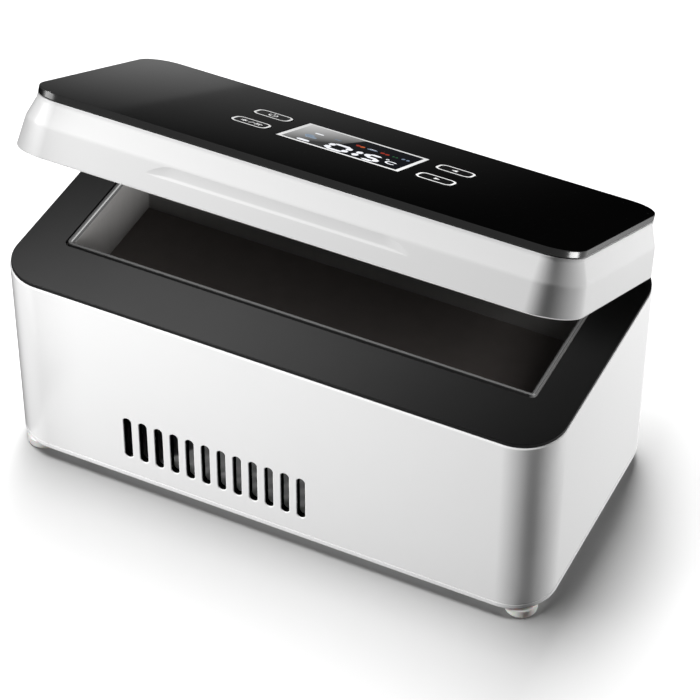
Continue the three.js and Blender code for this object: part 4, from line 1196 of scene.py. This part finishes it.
make_shell()
make_cover()
make_feet()
make_screws()
make_rim()
make_trim()
make_tray()
make_socket()
make_lid()
make_liner()
make_gasket()
make_panel()
make_keys()
make_window()
make_display_marks()

# Pieces inside the case keep their CAD shapes
inner_finishes = {
    "body_insulation": "foam", "lid_insulation": "foam", "cold_block": "block_aluminium",
    "heat_sink": "sink_black_and_painted_shade", "peltier_module": "module_ceramic", "fan_frame": "inner_plastic",
    "fan_rotor": "inner_plastic", "battery_holder": "inner_plastic", "main_board": "circuit_board",
    "display_board": "circuit_board", "display_module": "key_black", "temperature_probe": "lead_jacket",
}
for node, thing in frame["nodes"].items():
    if thing.hide_render:
        continue
    chosen = inner_finishes.get(node)
    if node.startswith("battery_cell"):
        chosen = "cell_wrap"
    elif "lead" in node:
        chosen = "lead_jacket"
    elif "magnet" in node or "pin" in node or "screw" in node:
        chosen = "steel"
    elif node.endswith("switch"):
        chosen = "inner_plastic"
    thing.data.materials.clear()
    thing.data.materials.append(made_finishes[chosen])


# Studio, in metres

FLOOR_WHITE = 0.5
FLOOR_BOUNCE = 0.04
FLOOR_REACH = 4
FADE_START = 0.6
FADE_END = 1.2
EVEN_LIGHT = 0.03
CARD_LEFT = -0.6
CARD_RIGHT = 0.35
CARD_Y = 0.26
CARD_TOP = 0.32
FLAG_FRONT = -0.1
FLAG_BACK = 0.7
FLAG_LEVEL = 0.001


def flat_stage(name, spots, material, unseen=()):
    """A flat sheet of the studio, with its corners at four spots. Some kinds of rays do not see it."""
    bm = rectangle(1, 1)
    order = sorted(bm.verts, key=lambda vert: math.atan2(vert.co.y, vert.co.x))
    for vert, spot in zip(order, spots):
        vert.co = spot
    sheet = new_object(name, bm, [material])
    for rays in unseen:
        setattr(sheet, f"visible_{rays}", False)
    sheet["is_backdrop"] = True
    return sheet


def lying(x0, x1, y0, y1, level):
    return [(x0, y0, level), (x1, y0, level), (x1, y1, level), (x0, y1, level)]


def background_rays(tree):
    """1 for the rays that show the background: from the camera, in reflections and through clear pieces."""
    path = add_node(tree, "LightPath")
    first = maths(tree, "MAXIMUM", path["Is Camera Ray"], path["Is Glossy Ray"])
    return maths(tree, "MAXIMUM", first, path["Is Transmission Ray"])


def bare_material(name):
    """A material without a shader. Gives it with its node tree and the input of its surface."""
    material, tree, _ = new_material(name)
    tree.nodes.remove(tree.nodes["Principled BSDF"])
    return material, tree, tree.nodes["Material Output"].inputs["Surface"]


def glowing_material(name):
    """A black material with even light of its own. Gives it with its tree and the input of that light."""
    material, tree, shader = new_material(name)
    shader["Base Color"].default_value = colour(0)
    shader["Specular IOR Level"].default_value = 0
    shader["Emission Strength"].default_value = 1
    return material, tree, shader["Emission Color"]


def make_floor():
    """White paper to the camera and in reflections, and darker to the light that it would throw on the case.
    Seen from below it is clear, and far from the case it fades into the white background."""
    material, tree, surface = bare_material("floor_paper")
    shown = add_node(tree, "BsdfDiffuse", {"Color": colour(FLOOR_WHITE)})[0]
    bounce = add_node(tree, "BsdfDiffuse", {"Color": colour(FLOOR_BOUNCE)})[0]
    paper = add_node(tree, "MixShader", {"Fac": background_rays(tree), 1: bounce, 2: shown})[0]
    spot = add_node(tree, "TexCoord")["Object"]
    away = add_node(tree, "VectorMath", {0: spot}, operation="LENGTH")["Value"]
    far = ranged(tree, away, FADE_START, FADE_END, 0, 1)
    fade = maths(tree, "MAXIMUM", far, add_node(tree, "NewGeometry")["Backfacing"])
    clear = add_node(tree, "BsdfTransparent")[0]
    tree.links.new(add_node(tree, "MixShader", {"Fac": fade, 1: paper, 2: clear})[0], surface)
    spots = lying(-FLOOR_REACH, FLOOR_REACH, -FLOOR_REACH, FLOOR_REACH, 0)
    return flat_stage("floor", spots, material)


REFLECTED_ONLY = ("camera", "diffuse", "transmission", "shadow")
SHADE_ONLY = ("camera", "diffuse", "glossy", "transmission")


def make_card():
    """A graded card behind the case. It shows only in reflections, and keeps the black panel black:
    pale to the left of a slanting line, and fading to black to the right and upwards."""
    slant = 1.56
    fade_start = 0.051
    fade_end = 0.0875
    dim_start = 0.12
    dim_end = -0.07
    dim_light = 0.17
    pale_start = -0.072
    pale_end = -0.112
    pale_light = 0.3
    palest_light = 0.5
    edge_slant = 0.32
    edge = -0.053
    soft_edge = 0.002
    material, tree, light = glowing_material("graded_card")
    spot = add_node(tree, "SeparateXYZ", {0: add_node(tree, "TexCoord")["Object"]})
    along = maths(tree, "ADD", spot["X"], maths(tree, "MULTIPLY", spot["Z"], slant))
    upwards = ranged(tree, spot["Z"], fade_start, fade_end, 1, 0)
    share = ranged(tree, along, dim_start, dim_end, 0, 1)
    dim = maths(tree, "MULTIPLY", maths(tree, "POWER", share, 2), dim_light)
    pale = ranged(tree, along, pale_start, pale_end, pale_light, palest_light)
    side = maths(tree, "ADD", along, maths(tree, "MULTIPLY", spot["Z"], edge_slant))
    left = ranged(tree, side, edge, edge - soft_edge, 0, 1)
    tree.links.new(maths(tree, "MULTIPLY", mixed(tree, left, dim, pale), upwards), light)
    spots = [
        (CARD_LEFT, CARD_Y, 0), (CARD_RIGHT, CARD_Y, 0), (CARD_RIGHT, CARD_Y, CARD_TOP),
        (CARD_LEFT, CARD_Y, CARD_TOP),
    ]
    flat_stage("card", spots, material, REFLECTED_ONLY)


def make_flag(name, level, left, right):
    """A sheet on the floor beside the case. It shows only in reflections, where it takes the glare off the
    ends of the white pieces."""
    material, _, light = glowing_material(name)
    light.default_value = colour(level)
    flat_stage(name, lying(left, right, FLAG_FRONT, FLAG_BACK, FLAG_LEVEL), material, REFLECTED_ONLY)


def make_scrim(name, light, x, front, back, low, high, lean=0):
    """A thin scrim to the left of the case, whose front edge leans back towards the top. It is not seen, and
    only softens a lamp that it stands before."""
    material, tree, surface = bare_material(name)
    tree.links.new(add_node(tree, "BsdfTransparent", {"Color": colour(light)})[0], surface)
    spots = [(x, front, low), (x, back, low), (x, back, high), (x, front + lean, high)]
    return flat_stage(name, spots, material, SHADE_ONLY)


def lit_group(name, things):
    """A group of things for a lamp to light, or of things that shade it."""
    group = bpy.data.collections.new(name)
    for thing in things:
        group.objects.link(thing)
    return group


def named(*beginnings):
    """The pieces whose names begin in one of these ways."""
    return [thing for name, thing in made_pieces.items() if name.startswith(beginnings)]


def soft_lamp(name, place, aim, width, power, lights, casters, height=None, spread=180, shine=True):
    """A soft lamp, square if no height is given, that lights one group of things, with or without shine.
    Only the casters shade it."""
    data = bpy.data.lights.new(name, "AREA")
    data.shape = "RECTANGLE"
    data.size = width
    data.size_y = height or width
    data.energy = power
    data.spread = math.radians(spread)
    lamp = bpy.data.objects.new(name, data)
    lamp.location = place
    lamp.rotation_euler = (Vector(aim) - Vector(place)).to_track_quat("-Z", "Y").to_euler()
    lamp.visible_camera = False
    lamp.visible_glossy = shine
    lamp.light_linking.receiver_collection = lights
    lamp.light_linking.blocker_collection = casters
    bpy.context.scene.collection.objects.link(lamp)


def make_world():
    """White to the camera and in reflections, and a weaker even light on the object."""
    world = bpy.data.worlds.new("studio")
    bpy.context.scene.world = world
    world.use_nodes = True
    tree = world.node_tree
    background = tree.nodes["Background"].inputs
    background["Color"].default_value = colour(1)
    tree.links.new(ranged(tree, background_rays(tree), 0, 1, EVEN_LIGHT, 1), background["Strength"])


def make_camera():
    place = (0.336, -0.68777, 0.7484)
    azimuth = math.radians(25.58)
    elevation = math.radians(42.63)
    roll = math.radians(0.32)
    level = math.cos(elevation)
    back = Vector((math.sin(azimuth) * level, -math.cos(azimuth) * level, math.sin(elevation)))
    right = Vector((math.cos(azimuth), math.sin(azimuth), 0))
    turn = Matrix((right, back.cross(right), back)).transposed() @ Matrix.Rotation(roll, 3, "Z")
    data = bpy.data.cameras.new("camera")
    data.lens = 151.75
    data.sensor_width = 36
    camera = bpy.data.objects.new("camera", data)
    camera.matrix_world = Matrix.Translation(place) @ turn.to_4x4()
    bpy.context.scene.collection.objects.link(camera)
    bpy.context.scene.camera = camera


floor = make_floor()
make_card()
make_flag("flag_left", level=0, left=-0.9, right=-cad_high.x)
make_flag("flag_right", level=0.7, left=cad_high.x, right=0.15)
make_world()
make_camera()


def make_lamps():
    """Each group of pieces has its own lamps, because the photograph lights them differently."""
    all_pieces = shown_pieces()
    apart = lid_things + named("rim", "trim", "tray")
    case = lit_group("lit_case", [thing for thing in all_pieces if thing not in apart])
    lid = lit_group("lit_lid", lid_things)
    rim = lit_group("lit_rim", named("rim", "trim"))
    trim = lit_group("lit_trim", named("trim"))
    well = lit_group("lit_well", named("tray"))
    panel = lit_group("lit_panel", named("panel"))
    white = lit_group("lit_back", [*named("shell", "cover"), made_pieces["lid"]])
    lid_shell = lit_group("lit_lid_shell", [made_pieces["lid"]])
    base = lit_group("lit_base", named("cover", "pad_", "screw_"))
    liner = lit_group("lit_liner", named("liner", "gasket", "lid_screw"))
    paper = lit_group("lit_floor", [floor])

    case_scrims = [
        make_scrim("case_scrim", light=0.75, x=-0.118, front=-0.088, back=0.2, low=0, high=0.2),
        make_scrim("case_edge_scrim", light=0.3, x=-0.119, front=-0.071, back=-0.052, low=0, high=0.2),
    ]
    lid_scrim = make_scrim(
        "lid_scrim", light=0.36, x=-0.118, front=-0.0858, back=0.2, low=0.1, high=0.25, lean=0.123,
    )
    pieces = lit_group("casting", all_pieces)
    well_walls = lit_group("casting_well", named("trim", "tray"))
    case_casters = lit_group("casting_case_left", [*all_pieces, *case_scrims])
    lid_casters = lit_group("casting_lid_left", [*all_pieces, lid_scrim])

    case_middle = (0, 0, 0.045)
    case_front = (-0.03, -0.05, 0.09)
    lid_middle = (0, 0, 0.12)
    lid_front = (0, -0.05, 0.09)
    rim_front = (-0.033, -0.05, 0.083)
    well_left = (-0.085, -0.01, 0.075)
    trim_left = (-0.088, -0.02, 0.083)
    panel_left = (-0.0905, -0.0293, 0.1463)
    panel_right = (0.0963, -0.0257, 0.1445)
    floor_middle = (-0.175, 0.24, 0)

    # Name, place, aim, width, power, the group that it lights and what shades it
    soft_lamp("case_left_lamp", (-0.51, -0.51, 0.51), case_front, 0.22, 2.95, case, case_casters, spread=95)
    soft_lamp("case_right_lamp", (0.42, 0.216, 0.165), case_middle, 0.15, 1.8, case, pieces, shine=False)
    soft_lamp("lid_left_lamp", (-1.03, -0.145, 0.737), lid_middle, 0.3, 31.3, lid, lid_casters)
    soft_lamp("lid_right_lamp", (0.4335, 0.276, 0.2356), lid_middle, 0.15, 1.75, lid, pieces, shine=False)
    soft_lamp("rim_lamp", (-0.2, -0.24, 0.3), rim_front, 0.1, 0.174, rim, pieces, spread=34)
    soft_lamp("well_lamp", (0.4, -0.08, 0.105), well_left, 0.05, 3.5, well, well_walls)
    soft_lamp("well_fill_lamp", (0.35, -0.2, 0.45), well_left, 0.25, 2, well, pieces)
    soft_lamp("trim_lamp", (0.35, -0.05, 0.11), trim_left, 0.1, 1.3, trim, trim, spread=40)
    soft_lamp("left_edge_lamp", (-0.336, -0.194, 0.158), panel_left, 0.18, 1.35, panel, pieces)
    soft_lamp("right_edge_lamp", (0.384, -0.047, 0.0725), panel_right, 0.16, 3.07, panel, pieces)
    soft_lamp("floor_lamp", (-0.175, 0.24, 1.2), floor_middle, 0.45, 47, paper, pieces, height=1.2)
    soft_lamp("back_lamp", (0, 0.85, 0.35), case_middle, 0.3, 2.2, white, pieces, shine=False)
    soft_lamp("base_lamp", (0, 0, -0.5), case_middle, 0.3, 1.3, base, pieces, shine=False)
    soft_lamp("shut_lid_lamp", (0, -0.45, -0.5), lid_front, 0.2, 5.3, lid_shell, pieces, shine=False)
    soft_lamp("liner_lamp", (-0.2, -0.7, 0.25), lid_middle, 0.3, 2.5, liner, pieces, shine=False)


make_lamps()
bpy.context.scene.view_settings.view_transform = "Standard"
